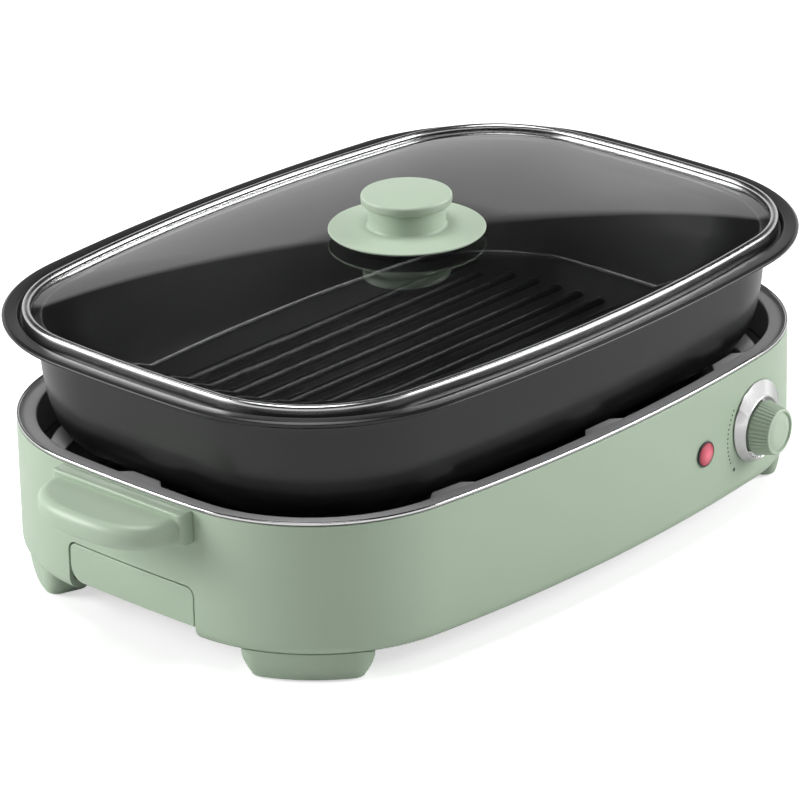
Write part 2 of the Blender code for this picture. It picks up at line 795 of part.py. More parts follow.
def shell_holes():
    """Holes for the dial's bushing, the lens, the inlet and the handle screws."""
    parts = []
    through = SHELL_WALL + OVERRUN
    for x, z, radius in (
        (DIAL_X, DIAL_Z, BUSHING_RADIUS + GAP),
        (LENS_X, LENS_Z, LENS_BARREL_RADIUS + GAP),
    ):
        hole = turned_mesh([(0, OVERRUN), (radius, OVERRUN), (radius, -through), (0, -through)], MEDIUM_STEPS)
        parts.append(place(hole, BASE.side_frame(x, z)))
    half = INLET_WIDTH * HALF + GAP
    tall = INLET_HEIGHT * HALF + GAP
    wall = BASE.side_y(0)
    parts.append(
        box_mesh((-half, wall - through, INLET_Z - tall), (half, wall + OVERRUN, INLET_Z + tall))
    )
    for side in (-1, 1):
        for y in (-HANDLE_SCREW_Y, HANDLE_SCREW_Y):
            reach = BASE.end_x(y)
            hole = bored(SCREW_RADIUS + GAP, reach - through, reach + OVERRUN)
            parts.append(place(hole, screw_frame(side, y)))
    return merge_meshes(parts)


def screw_frame(side, y):
    """A frame whose local Z runs from the middle of the base out of one end."""
    turn = Matrix.Rotation(side * math.pi / 2, 4, "Y")
    return Matrix.Translation((0, y, HANDLE_SCREW_Z)) @ turn


def rim_trim(finish):
    top = RIM_TOP
    low = RIM_TOP - TRIM_HEIGHT
    section = [(0, low), (0, top), (TRIM_WIDTH, top), (TRIM_WIDTH, low)]
    piece("rim_trim", ring_mesh(BASE, section), finish)


def well_ring(finish):
    lip_bottom = LEDGE_TOP - LEDGE_LIP_THICKNESS
    under = LEDGE_TOP - LEDGE_THICKNESS
    trim_under = RIM_TOP - TRIM_HEIGHT - GAP
    lip_end = SHELL_WALL + GAP
    section = [
        (LEDGE_START, lip_bottom),
        (LEDGE_START, trim_under),
        (TRIM_WIDTH + GAP, trim_under),
        (TRIM_WIDTH + GAP, LEDGE_TOP),
        (LEDGE_WIDTH, LEDGE_TOP),
        (LEDGE_WIDTH, SKIRT_BOTTOM),
        (LEDGE_WIDTH - SKIRT_WALL, SKIRT_BOTTOM),
        (LEDGE_WIDTH - SKIRT_WALL, under),
        (lip_end, under),
        (lip_end, lip_bottom),
    ]
    ring = piece("well_ring", ring_mesh(BASE, section), finish)
    join(ring, tab_mesh(), "ledge_tabs")


def tab_mesh():
    """Locating tabs: three on each long side and one at each end."""
    low = LEDGE_TOP - LEDGE_THICKNESS
    root = SKIRT_WALL * HALF
    parts = []
    for x in (-TAB_PITCH, 0, TAB_PITCH):
        centre, radius = BASE.arc_at(x)
        lean = math.asin((x - math.copysign(centre.x, x)) / radius)
        for side in (-1, 1):
            at = Vector((x, side * BASE.side_y(x, LEDGE_WIDTH), 0))
            turn = Matrix.Rotation((math.pi if side > 0 else 0) + side * -lean, 4, "Z")
            parts.append(place(tab_prism(root, low), Matrix.Translation(at) @ turn))
    for side in (-1, 1):
        at = Vector((side * (BASE_HALF_LENGTH - LEDGE_WIDTH), 0, 0))
        turn = Matrix.Rotation(side * math.pi / 2, 4, "Z")
        parts.append(place(tab_prism(root, low), Matrix.Translation(at) @ turn))
    return merge_meshes(parts)


def tab_prism(root, low):
    """One tab, its tip towards +Y. Its base follows the ring, so its root reaches into it."""
    half_base = TAB_BASE_WIDTH * HALF
    half_tip = TAB_TIP_WIDTH * HALF
    points = [(-half_base, -root), (half_base, -root), (half_base, 0)]
    points += [(half_tip, TAB_DEPTH), (-half_tip, TAB_DEPTH), (-half_base, 0)]
    return prism_mesh(points, low, LEDGE_TOP)


def bottom_cover(finish):
    edge = FLANGE_INSET + GAP
    section = [(edge, COVER_TOP), (edge, BODY_BOTTOM)]
    cover = piece("bottom_cover", dish_mesh(BASE, section), finish)
    parts = []
    half = DRAWER_HALF_WIDTH + DRAWER_GAP
    parts.append(
        box_mesh(
            (-BASE_HALF_LENGTH, -half, BODY_BOTTOM - OVERRUN),
            (-BASE_HALF_LENGTH + NOTCH_DEPTH, half, COVER_TOP + OVERRUN),
        )
    )
    reach = COVER_SLOT_LENGTH * HALF
    for i in range(COVER_SLOT_COUNT):
        y = (i - (COVER_SLOT_COUNT - 1) * HALF) * COVER_SLOT_PITCH
        slot_half = COVER_SLOT_WIDTH * HALF
        parts.append(
            box_mesh(
                (COVER_SLOT_X - reach, y - slot_half, BODY_BOTTOM - OVERRUN),
                (COVER_SLOT_X + reach, y + slot_half, COVER_TOP + OVERRUN),
            )
        )
    for x, y in boss_places():
        hole = bored(SCREW_RADIUS + GAP, BODY_BOTTOM - OVERRUN, COVER_TOP + OVERRUN)
        parts.append(place(hole, Matrix.Translation((x, y, 0))))
    cut(cover, merge_meshes(parts), "cover_cuts")


def screw_mesh(length):
    """A pan-head screw pointing along +Z, its head below zero."""
    crown = SCREW_HEAD * HALF
    section = [
        (0, length),
        (SCREW_RADIUS * HALF, length),
        (SCREW_RADIUS, length - SCREW_RADIUS),
        (SCREW_RADIUS, 0),
        (SCREW_HEAD_RADIUS, 0),
        (SCREW_HEAD_RADIUS, -crown),
        (SCREW_HEAD_RADIUS * HALF, -SCREW_HEAD),
        (0, -SCREW_HEAD),
    ]
    return turned_mesh(section, SMALL_STEPS)


def cover_screws(finish):
    sides = ("front_left", "front_right", "back_left", "back_right")
    for side, (x, y) in zip(sides, boss_places()):
        frame = Matrix.Translation((x, y, BODY_BOTTOM - GAP))
        piece("cover_screw_" + side, screw_mesh(COVER_SCREW_LENGTH), finish, frame=frame)


def corners():
    for name_y, side_y in (("front", -1), ("back", 1)):
        for name_x, side_x in (("left", -1), ("right", 1)):
            yield name_y + "_" + name_x, side_x, side_y


def feet(finish, pad_finish):
    """Four feet that follow the corners of the shell, each with a rubber pad in a seat under it."""
    outer = BASE_CORNER - FOOT_TOP_INSET
    seat_top = PAD_HEIGHT + GAP
    foot_low = seat_top - PAD_SEAT_DEPTH
    foot_top = BODY_BOTTOM - GAP
    inner = outer - FOOT_WIDTH
    # the top follows the shell's bottom fillet
    lift = SHELL_FILLET - math.sqrt(SHELL_FILLET**2 - (SHELL_FILLET - FOOT_TOP_INSET) ** 2)
    half_inset = (FOOT_TOP_INSET + SHELL_FILLET) * HALF
    half_lift = SHELL_FILLET - math.sqrt(SHELL_FILLET**2 - (SHELL_FILLET - half_inset) ** 2)
    section = [
        (outer, foot_top + lift),
        (outer - FOOT_DRAFT, foot_low),
        (inner + FOOT_DRAFT, foot_low),
        (inner, foot_top),
        (BASE_CORNER - SHELL_FILLET, foot_top),
        (BASE_CORNER - half_inset, foot_top + half_lift - GAP),
    ]
    span = math.radians(FOOT_END_DEG - FOOT_START_DEG)
    middle = math.radians(FOOT_END_DEG + FOOT_START_DEG) * HALF
    for name, side_x, side_y in corners():
        bm = bmesh.new()
        start = bm.faces.new([bm.verts.new((radius, 0, z)) for radius, z in section])
        place(bm, Matrix.Rotation(middle - span * HALF, 4, "Z"))
        bmesh.ops.spin(
            bm, geom=[start], cent=(0, 0, 0), axis=(0, 0, 1), angle=span, steps=FOOT_STEPS, use_merge=False
        )
        place(bm, Matrix.Diagonal((side_x, side_y, 1, 1)))
        at = Vector((side_x * BASE.corner_centre.x, side_y * BASE.corner_centre.y, 0))
        place(bm, Matrix.Translation(at))
        made = piece("foot_" + name, bm, finish)
        reach = (outer + inner) * HALF
        pad_at = at + Vector((side_x * math.cos(middle), side_y * math.sin(middle), 0)) * reach
        seat_radius = PAD_RADIUS + GAP
        below = foot_low - OVERRUN
        seat = turned_mesh(
            [(0, seat_top), (seat_radius, seat_top), (seat_radius, below), (0, below)], MEDIUM_STEPS
        )
        cut(made, place(seat, Matrix.Translation(pad_at)), "foot_%s_seat" % name)
        pad = turned_mesh(
            [(0, PAD_HEIGHT), (PAD_RADIUS, PAD_HEIGHT), (PAD_RADIUS, 0), (0, 0)], MEDIUM_STEPS
        )
        piece("foot_pad_" + name, pad, pad_finish, frame=Matrix.Translation(pad_at))


# Base: the hot side


def heat_reflector(finish):
    sheet = REFLECTOR_THICKNESS
    wall_mid = (REFLECTOR_FLANGE_END + REFLECTOR_DISH_START) * HALF
    mid_z = (REFLECTOR_TOP + REFLECTOR_FLOOR) * HALF
    section = [
        (REFLECTOR_DISH_START, REFLECTOR_FLOOR),
        (wall_mid, mid_z),
        (REFLECTOR_FLANGE_END, REFLECTOR_TOP),
        (REFLECTOR_FLANGE_START, REFLECTOR_TOP),
        (REFLECTOR_FLANGE_START, REFLECTOR_TOP - sheet),
        (REFLECTOR_FLANGE_END - sheet * HALF, REFLECTOR_TOP - sheet),
        (wall_mid - sheet * HALF, mid_z - sheet),
        (REFLECTOR_DISH_START - sheet * HALF, REFLECTOR_UNDER),
    ]
    dish = piece("heat_reflector", dish_mesh(BASE, section), finish)
    low = REFLECTOR_UNDER - OVERRUN
    high = REFLECTOR_FLOOR + OVERRUN
    parts = [
        box_mesh(
            (DRIP_SLOT_X - DRIP_SLOT_LENGTH * HALF, -DRIP_SLOT_WIDTH * HALF, low),
            (DRIP_SLOT_X + DRIP_SLOT_LENGTH * HALF, DRIP_SLOT_WIDTH * HALF, high),
        )
    ]
    for y in (-TUBE_OUTER_RUN_Y, -TUBE_INNER_RUN_Y):
        hole = bored(TUBE_RADIUS + TUBE_LEG_CLEARANCE, low, high)
        parts.append(place(hole, Matrix.Translation((TUBE_END_X, y, 0))))
    cut(dish, merge_meshes(parts), "reflector_cuts")


def element_route():
    """The element's centre line: down leg, outer run, far end, outer run, inner hairpin, down leg."""
    outer, inner = TUBE_OUTER_RUN_Y, TUBE_INNER_RUN_Y
    turn = (outer - inner) * HALF
    corner = TUBE_CORNER
    far = TUBE_FAR_X + corner
    flat = arc((far, -outer + corner), corner, corner, 270, 180, TUBE_ARC_STEPS)
    flat += arc((far, outer - corner), corner, corner, 180, 90, TUBE_ARC_STEPS)
    flat += arc((TUBE_TURN_X, inner + turn), turn, turn, 90, -90, TUBE_ARC_STEPS + 2)
    flat += arc((TUBE_INNER_TURN_X, 0), inner, inner, 90, 270, TUBE_ARC_STEPS + 4)
    run = [Vector((x, y, TUBE_Z)) for x, y in flat]
    return leg(-outer)[::-1] + run + leg(-inner)


def leg(y):
    """The end of the element: a bend at the end of a run, then straight down."""
    bend = arc((TUBE_END_X - TUBE_LEG_BEND, TUBE_Z - TUBE_LEG_BEND), TUBE_LEG_BEND, TUBE_LEG_BEND, 90, 0, 4)
    low = TUBE_Z - TUBE_LEG_BEND - TUBE_LEG_DROP
    return [Vector((x, y, z)) for x, z in bend] + [Vector((TUBE_END_X, y, low))]


def tube(name, points, radius, bevel_steps, finish):
    """A round tube along the points, with closed ends."""
    curve = bpy.data.curves.new(name, "CURVE")
    curve.dimensions = "3D"
    curve.bevel_depth = radius
    curve.bevel_resolution = bevel_steps
    curve.use_fill_caps = True
    spline = curve.splines.new("POLY")
    spline.points.add(len(points) - 1)
    for point, target in zip(points, spline.points):
        target.co = (*point, 1)
    curve.materials.append(finish)
    made = bpy.data.objects.new(name, curve)
    bpy.context.scene.collection.objects.link(made)
    return made


def element_brackets(finish):
    runs = (-TUBE_OUTER_RUN_Y, -TUBE_INNER_RUN_Y, TUBE_INNER_RUN_Y, TUBE_OUTER_RUN_Y)
    half = BRACKET_THICKNESS * HALF
    reach = TUBE_OUTER_RUN_Y + BRACKET_OVERHANG
    for side, x in zip(("left", "right"), BRACKET_XS):
        bar = box_mesh((x - half, -reach, REFLECTOR_FLOOR + GAP), (x + half, reach, TUBE_Z - GAP))
        made = piece("element_bracket_" + side, bar, finish)
        grooves = []
        for y in runs:
            groove = bored(TUBE_RADIUS + GAP, -half - OVERRUN, half + OVERRUN)
            frame = Matrix.Translation((x, y, TUBE_Z)) @ Matrix.Rotation(math.pi / 2, 4, "Y")
            grooves.append(place(groove, frame))
        cut(made, merge_meshes(grooves), "bracket_grooves_" + side)


def pan_rests(finish):
    low = REFLECTOR_FLOOR + GAP
    top = PAN_BOTTOM - GAP
    section = [
        (0, top),
        (REST_STEM_RADIUS, top),
        (REST_STEM_RADIUS, low + REST_FLANGE),
        (REST_RADIUS, low + REST_FLANGE),
        (REST_RADIUS, low),
        (0, low),
    ]
    for name, side_x, side_y in corners():
        frame = Matrix.Translation((side_x * REST_X, side_y * REST_Y, 0))
        piece("pan_rest_" + name, turned_mesh(section, SMALL_STEPS), finish, frame=frame)


def thermal_fuse(fuse_finish, clip_finish):
    top = REFLECTOR_UNDER - GAP
    z = top - GAP - FUSE_RADIUS
    half = FUSE_LENGTH * HALF
    body = bored(FUSE_RADIUS, -half, half)
    frame = Matrix.Translation((FUSE_X, FUSE_Y, z)) @ Matrix.Rotation(math.pi / 2, 4, "Y")
    piece("thermal_fuse", body, fuse_finish, frame=frame)
    inner = FUSE_RADIUS + GAP
    outer = inner + FUSE_CLIP_SHEET
    width = FUSE_CLIP_WIDTH * HALF
    clip = box_mesh((FUSE_X - width, FUSE_Y - outer, z - outer), (FUSE_X + width, FUSE_Y + outer, top))
    made = piece("fuse_clip", clip, clip_finish)
    hollow = box_mesh(
        (FUSE_X - width - OVERRUN, FUSE_Y - inner, z - inner),
        (FUSE_X + width + OVERRUN, FUSE_Y + inner, top + OVERRUN),
    )
    cut(made, hollow, "fuse_clip_hollow")


def terminal_block(finish):
    """A ceramic block with two wells on the bottom cover, beside the inlet."""
    low = COVER_TOP + GAP
    half_x = BLOCK_WIDTH * HALF
    half_y = BLOCK_LENGTH * HALF
    body = box_mesh(
        (BLOCK_X - half_x, BLOCK_Y - half_y, low), (BLOCK_X + half_x, BLOCK_Y + half_y, low + BLOCK_HEIGHT)
    )
    made = piece("terminal_block", body, finish)
    wells = []
    for side in (-1, 1):
        well = bored(BLOCK_WIDTH * HALF * HALF, low + BLOCK_HEIGHT * HALF, low + BLOCK_HEIGHT + OVERRUN)
        at = (BLOCK_X, BLOCK_Y + side * BLOCK_LENGTH * HALF * HALF, 0)
        wells.append(place(well, Matrix.Translation(at)))
    cut(made, merge_meshes(wells), "terminal_wells")


# Base: dial, lamp and inlet


def thermostat(body_finish, bracket_finish):
    frame = BASE.side_frame(DIAL_X, DIAL_Z)
    plate_front = -SHELL_WALL - THERMOSTAT_STANDOFF
    plate_back = plate_front - THERMOSTAT_PLATE
    half_plate = THERMOSTAT_PLATE_WIDTH * HALF
    plate = box_mesh(
        (-half_plate, -THERMOSTAT_BELOW, plate_back), (half_plate, THERMOSTAT_ABOVE, plate_front - GAP)
    )
    bracket = piece("thermostat_bracket", plate, bracket_finish, frame=frame)
    cut(
        bracket,
        bored(BUSHING_RADIUS + GAP, plate_back - OVERRUN, plate_front + OVERRUN),
        "bracket_hole",
        frame=frame,
    )
    front = plate_back - GAP
    half = THERMOSTAT_WIDTH * HALF
    body = box_mesh((-half, -THERMOSTAT_BELOW, THERMOSTAT_REAR), (half, THERMOSTAT_ABOVE, front))
    made = piece("thermostat_body", body, body_finish, frame=frame)
    join(made, bored(BUSHING_RADIUS, front - OVERRUN, -GAP), "thermostat_bushing", frame=frame)
    cut(
        made,
        bored(SHAFT_RADIUS + GAP, -SHAFT_INSIDE - GAP, OVERRUN),
        "thermostat_bore",
        frame=frame,
    )


def circle(radius, z, rise=0.0, flute=0.0):
    """Points of a circle. With a flute depth, every second point stands back by it."""
    points = []
    for i in range(LARGE_STEPS):
        angle = 2 * math.pi * i / LARGE_STEPS
        reach = radius - (flute if i % 2 else 0)
        points.append((reach * math.cos(angle), rise + reach * math.sin(angle), z))
    return points


def knob_bezel(finish):
    """A silver cup whose wide base stands a little above the knob's axis."""
    low = GAP
    floor = BEZEL_REACH - BEZEL_CUP_DEPTH
    bore = BUSHING_RADIUS + GAP
    loops = [
        circle(BEZEL_BASE_RADIUS, low, BEZEL_BASE_RISE),
        circle(BEZEL_BASE_RADIUS, low + BEZEL_EDGE, BEZEL_BASE_RISE),
        circle(BEZEL_FACE_RADIUS, BEZEL_REACH),
        circle(BEZEL_CUP_RADIUS, BEZEL_REACH),
        circle(BEZEL_CUP_RADIUS, floor),
        circle(bore, floor),
        circle(bore, low),
    ]
    piece("knob_bezel", loft(loops, closed=True), finish, frame=BASE.side_frame(DIAL_X, DIAL_Z))


def control_knob(knob_finish, shaft_finish):
    """A tapered fluted knob on its shaft, both on the dial's axis."""
    frame = BASE.side_frame(DIAL_X, DIAL_Z)
    axis = guide("dial_axis", frame)
    low = BEZEL_REACH - BEZEL_CUP_DEPTH + GAP
    top = low + KNOB_LENGTH
    bore = SHAFT_RADIUS + GAP
    loops = [
        circle(bore, low + SHAFT_IN_KNOB + GAP),
        circle(bore, low),
        circle(KNOB_BASE_RADIUS - KNOB_FLUTE_DEPTH, low),
        circle(KNOB_BASE_RADIUS, low + KNOB_SHOULDER, flute=KNOB_FLUTE_DEPTH),
        circle(KNOB_END_RADIUS + KNOB_FLUTE_DEPTH, top - KNOB_SHOULDER, flute=KNOB_FLUTE_DEPTH),
        circle(KNOB_END_RADIUS - KNOB_FLUTE_DEPTH, top),
        circle(KNOB_RING_RADIUS, top),
        circle(KNOB_RING_RADIUS - KNOB_RING_DEPTH, top - KNOB_RING_DEPTH),
    ]
    piece("control_knob", loft(loops), knob_finish, parent=axis, frame=frame)
    shaft = bored(SHAFT_RADIUS, -SHAFT_INSIDE, low + SHAFT_IN_KNOB)
    piece("thermostat_shaft", shaft, shaft_finish, parent=axis, frame=frame)


def indicator(lens_finish, lamp_finish):
    frame = BASE.side_frame(LENS_X, LENS_Z)
    inner = LENS_BARREL_RADIUS - LENS_WALL
    face = GAP + LENS_FLANGE
    section = [
        (0, face + LENS_CROWN),
        (LENS_RADIUS * HALF, face + LENS_CROWN * HALF + LENS_CROWN * HALF * HALF),
        (LENS_RADIUS, face),
        (LENS_RADIUS, GAP),
        (LENS_BARREL_RADIUS, GAP),
        (LENS_BARREL_RADIUS, -LENS_BARREL_LENGTH),
        (inner, -LENS_BARREL_LENGTH),
        (inner, 0),
        (0, 0),
    ]
    piece("indicator_lens", turned_mesh(section, MEDIUM_STEPS), lens_finish, frame=frame)
    lamp = bored(inner - GAP, -LENS_WALL - LAMP_LENGTH, -LENS_WALL)
    piece("indicator_lamp", lamp, lamp_finish, frame=frame)


def power_inlet(finish, pin_finish):
    """A socket in the middle of the back wall, with three blades."""
    wall = BASE.side_y(0)
    half = INLET_WIDTH * HALF
    tall = INLET_HEIGHT * HALF
    back = wall - SHELL_WALL - INLET_DEPTH
    body = box_mesh((-half, back, INLET_Z - tall), (half, wall + GAP + OVERRUN * HALF, INLET_Z + tall))
    made = piece("power_inlet", body, finish)
    face = wall + GAP + INLET_FLANGE_THICKNESS
    flange = box_mesh(
        (-half - INLET_FLANGE, wall + GAP, INLET_Z - tall - INLET_FLANGE),
        (half + INLET_FLANGE, face, INLET_Z + tall + INLET_FLANGE),
    )
    join(made, flange, "inlet_flange")
    floor = face - INLET_RECESS
    recess = box_mesh(
        (-half + INLET_WALL, floor, INLET_Z - tall + INLET_WALL),
        (half - INLET_WALL, face + OVERRUN, INLET_Z + tall - INLET_WALL),
    )
    cut(made, recess, "inlet_recess")
    slots = []
    blades = {
        "live": (-PIN_PITCH, -PIN_RISE),
        "earth": (0, PIN_RISE),
        "neutral": (PIN_PITCH, -PIN_RISE),
    }
    wide = PIN_THICKNESS * HALF
    high = PIN_WIDTH * HALF
    for x, rise in blades.values():
        z = INLET_Z + rise
        slots.append(
            box_mesh(
                (x - wide - GAP, back - OVERRUN, z - high - GAP),
                (x + wide + GAP, floor + OVERRUN, z + high + GAP),
            )
        )
    cut(made, merge_meshes(slots), "inlet_slots")
    for name, (x, rise) in blades.items():
        z = INLET_Z + rise
        start = back - PIN_TAIL
        blade = box_mesh((x - wide, start, z - high), (x + wide, start + PIN_LENGTH, z + high))
        piece("inlet_pin_" + name, blade, pin_finish)


def eased(points):
    """A line with its corners cut, so that a wire bends gently. Its ends stay."""
    for _ in range(LEAD_ROUNDS):
        line = [points[0]]
        for a, b in zip(points, points[1:]):
            line += [a.lerp(b, LEAD_CORNER_SHARE), b.lerp(a, LEAD_CORNER_SHARE)]
        points = line + [points[-1]]
    return points


def leads(finish):
    """Sleeved wires from the inlet to the thermostat and the element."""
    back = BASE.side_y(0) - SHELL_WALL - INLET_DEPTH - PIN_TAIL - LEAD_END_GAP
    pin_z = INLET_Z - PIN_RISE
    frame = BASE.side_frame(DIAL_X, DIAL_Z)
    side = THERMOSTAT_WIDTH * HALF * HALF
    depth = THERMOSTAT_REAR - LEAD_END_GAP
    drop = -THERMOSTAT_BELOW * HALF
    left, left_out = (frame @ Vector((-side, drop, depth - reach)) for reach in (0, LEAD_STRAIGHT))
    right, right_out = (frame @ Vector((side, drop, depth - reach)) for reach in (0, LEAD_STRAIGHT))
    leg_low = TUBE_Z - TUBE_LEG_BEND - TUBE_LEG_DROP - LEAD_END_GAP
    routes = {
        "lead_live": [
            Vector((-PIN_PITCH, back, pin_z)),
            Vector((-PIN_PITCH, back - LEAD_STRAIGHT, pin_z)),
            Vector((LEAD_WEST_X, LEAD_CROSS_Y, LEAD_FLOOR_Z)),
            Vector((LEAD_WEST_X, -LEAD_CROSS_Y, LEAD_FLOOR_Z)),
            left_out,
            left,
        ],
        "lead_neutral": [
            Vector((PIN_PITCH, back, pin_z)),
            Vector((PIN_PITCH, back - LEAD_STRAIGHT, pin_z)),
            Vector((LEAD_EAST_X, LEAD_CROSS_Y, LEAD_FLOOR_Z)),
            Vector((TUBE_END_X, 0, LEAD_FLOOR_Z)),
            Vector((TUBE_END_X, -TUBE_INNER_RUN_Y, LEAD_FLOOR_Z)),
            Vector((TUBE_END_X, -TUBE_INNER_RUN_Y, leg_low)),
        ],
        "lead_element": [
            right,
            right_out,
            Vector((TUBE_END_X, -TUBE_OUTER_RUN_Y, LEAD_FLOOR_Z)),
            Vector((TUBE_END_X, -TUBE_OUTER_RUN_Y, leg_low)),
        ],
    }
    for name, points in routes.items():
        tube(name, eased(points), LEAD_RADIUS, LEAD_BEVEL_STEPS, finish)


# Handles and drawer


def ear_points(side):
    """The ear seen from above: a flattened half-oval that runs back into the block."""
    root = BASE_HALF_LENGTH + HANDLE_BLOCK_REACH * HALF
    reach = EAR_REACH + HANDLE_BLOCK_REACH * HALF
    points = []
    for i in range(EAR_STEPS + 1):
        angle = math.pi * i / EAR_STEPS
        across = -math.cos(angle)
        out = (1 - abs(across) ** EAR_POWER_SHARE) ** (1 / EAR_POWER_SHARE)
        points.append((side * (root + reach * out), across * EAR_HALF_WIDTH))
    return points


def end_handle(name, side, finish, screw_finish):
    low_x = BASE_HALF_LENGTH - SHELL_WALL
    high_x = BASE_HALF_LENGTH + HANDLE_BLOCK_REACH
    xs = sorted((side * low_x, side * high_x))
    block = box_mesh(
        (xs[0], -HANDLE_HALF_WIDTH, HANDLE_BLOCK_BOTTOM), (xs[1], HANDLE_HALF_WIDTH, HANDLE_BLOCK_TOP)
    )
    outer = [
        e
        for e in block.edges
        if all(abs(v.co.x) > high_x - MERGE for v in e.verts)
        and abs(e.verts[0].co.y - e.verts[1].co.y) < MERGE
    ]
    bevel(block, outer, HANDLE_BLOCK_ROUND, 3)
    made = piece("handle_" + name, block, finish)
    ear = prism_mesh(ear_points(side), EAR_TOP - EAR_THICKNESS, EAR_TOP)
    rims = [e for e in ear.edges if abs(e.verts[0].co.z - e.verts[1].co.z) < MERGE]
    bevel(ear, rims, EAR_ROUND, 3)
    join(made, ear, "ear_" + name)
    cut(made, dish_mesh(BASE, [(-GAP, BODY_BOTTOM), (-GAP, RIM_TOP + OVERRUN)]), "wall_" + name)
    holes = []
    for y in (-HANDLE_SCREW_Y, HANDLE_SCREW_Y):
        head = BASE.end_x(y) - SHELL_WALL - GAP
        depth = head + HANDLE_SCREW_LENGTH
        hole = bored(SCREW_RADIUS + GAP, head, depth + GAP)
        holes.append(place(hole, screw_frame(side, y)))
        word = "front" if y < 0 else "back"
        frame = screw_frame(side, y) @ Matrix.Translation((0, 0, head))
        piece("handle_screw_" + name + "_" + word, screw_mesh(HANDLE_SCREW_LENGTH), screw_finish, frame=frame)
    cut(made, merge_meshes(holes), "screw_holes_" + name)


def drawer(front_finish, tray_finish):
    slide = guide("drawer_slide", Matrix.Translation((-BASE_HALF_LENGTH, 0, DRAWER_BOTTOM)))
    inner = DRAWER_RECESS + DRAWER_FRONT_THICKNESS
    outline = box_mesh(
        (-BASE_HALF_LENGTH - OVERRUN, -DRAWER_HALF_WIDTH, DRAWER_BOTTOM),
        (-BASE_HALF_LENGTH + inner * 2, DRAWER_HALF_WIDTH, DRAWER_TOP),
    )
    along = [e for e in outline.edges if abs(e.verts[0].co.x - e.verts[1].co.x) > MERGE]
    top = [e for e in along if e.verts[0].co.z > DRAWER_TOP - MERGE]
    bevel(outline, top, DRAWER_TOP_ROUND, 3)
    low = [
        e
        for e in outline.edges
        if abs(e.verts[0].co.x - e.verts[1].co.x) > MERGE
        and e.verts[0].co.z < DRAWER_BOTTOM + MERGE
        and e.verts[0].co.y > 0
    ]
    bevel(outline, low, DRAWER_LOW_ROUND, 4)
    front = piece("drawer_front", outline, front_finish, parent=slide)
    shell = ring_mesh(
        BASE,
        [
            (DRAWER_RECESS, DRAWER_BOTTOM - OVERRUN),
            (DRAWER_RECESS, DRAWER_TOP + OVERRUN),
            (inner, DRAWER_TOP + OVERRUN),
            (inner, DRAWER_BOTTOM - OVERRUN),
        ],
    )
    combine(front, shell, "INTERSECT", "drawer_front_curve")
    tray = box_mesh((TRAY_FRONT_X, -TRAY_HALF_WIDTH, TRAY_BOTTOM), (TRAY_BACK_X, TRAY_HALF_WIDTH, TRAY_TOP))
    made = piece("drawer_tray", tray, tray_finish, parent=slide)
    reach = TRAY_HALF_WIDTH + RUNNER_WIDTH
    runners = box_mesh(
        (RAIL_FRONT_X, -reach, RUNNER_TOP - RUNNER_THICKNESS), (TRAY_BACK_X - GAP, reach, RUNNER_TOP)
    )
    join(made, runners, "tray_runners")
    hollow = box_mesh(
        (TRAY_FRONT_X + TRAY_WALL, -TRAY_HALF_WIDTH + TRAY_WALL, TRAY_BOTTOM + TRAY_WALL),
        (TRAY_BACK_X - TRAY_WALL, TRAY_HALF_WIDTH - TRAY_WALL, TRAY_TOP + OVERRUN),
    )
    cut(made, hollow, "tray_hollow")


def drawer_rails(finish):
    inner = TRAY_HALF_WIDTH + GAP
    groove = TRAY_HALF_WIDTH + RUNNER_WIDTH + GAP
    low = RUNNER_TOP - RUNNER_THICKNESS - GAP
    high = RUNNER_TOP + GAP
    for name, side in (("front", -1), ("back", 1)):
        ys = sorted((side * inner, side * (inner + RAIL_WIDTH)))
        rail = box_mesh((RAIL_FRONT_X, ys[0], COVER_TOP + GAP), (RAIL_BACK_X, ys[1], TRAY_TOP))
        made = piece("drawer_rail_" + name, rail, finish)
        ys = sorted((side * (inner - OVERRUN), side * groove))
        slot = box_mesh((RAIL_FRONT_X - OVERRUN, ys[0], low), (RAIL_BACK_X + OVERRUN, ys[1], high))
        cut(made, slot, "rail_groove_" + name)


# Pan


def grill_pan(finish, lift):
    """A deep pan with a rounded bottom edge, a stepped brim and a field of ribs on its floor."""
    seat_end = SEAT_INSET
    wall_in = PAN_WALL_TOP_INSET + HALF * PAN_WALL
    wall_out = PAN_WALL_TOP_INSET - HALF * PAN_WALL
    bend_top = PAN_BOTTOM + PAN_BEND_HEIGHT
    centre_inset = PAN_WALL_TOP_INSET + PAN_WALL_DRAFT + PAN_BEND_WIDTH
    inner_bend = arc(
        (centre_inset, bend_top),
        PAN_BEND_WIDTH - HALF * PAN_WALL,
        PAN_BEND_HEIGHT - PAN_FLOOR_THICKNESS,
        180,
        270,
        PAN_BEND_STEPS,
    )
    outer_bend = arc(
        (centre_inset, bend_top),
        PAN_BEND_WIDTH + HALF * PAN_WALL,
        PAN_BEND_HEIGHT,
        270,
        180,
        PAN_BEND_STEPS,
    )
    section = list(reversed(inner_bend))
    section += [
        (wall_in, SEAT_TOP - BRIM_EDGE),
        (seat_end, SEAT_TOP),
        (BRIM_WIDTH + BRIM_EDGE, SEAT_TOP),
        (BRIM_WIDTH, BRIM_TOP - BRIM_SLOPE),
        (BRIM_EDGE, BRIM_TOP),
        (0, BRIM_TOP - BRIM_EDGE),
        (BRIM_EDGE * HALF, BRIM_TOP - BRIM_THICKNESS),
        (BRIM_WIDTH, BRIM_TOP - BRIM_SLOPE - BRIM_THICKNESS),
        (seat_end - BRIM_EDGE, SEAT_TOP - BRIM_THICKNESS),
        (wall_out, SEAT_TOP - PAN_NECK_DROP),
    ]
    section += list(reversed(outer_bend))
    pan = piece("grill_pan", dish_mesh(PAN, section), finish, parent=lift)
    join(pan, rib_mesh(), "pan_ribs")


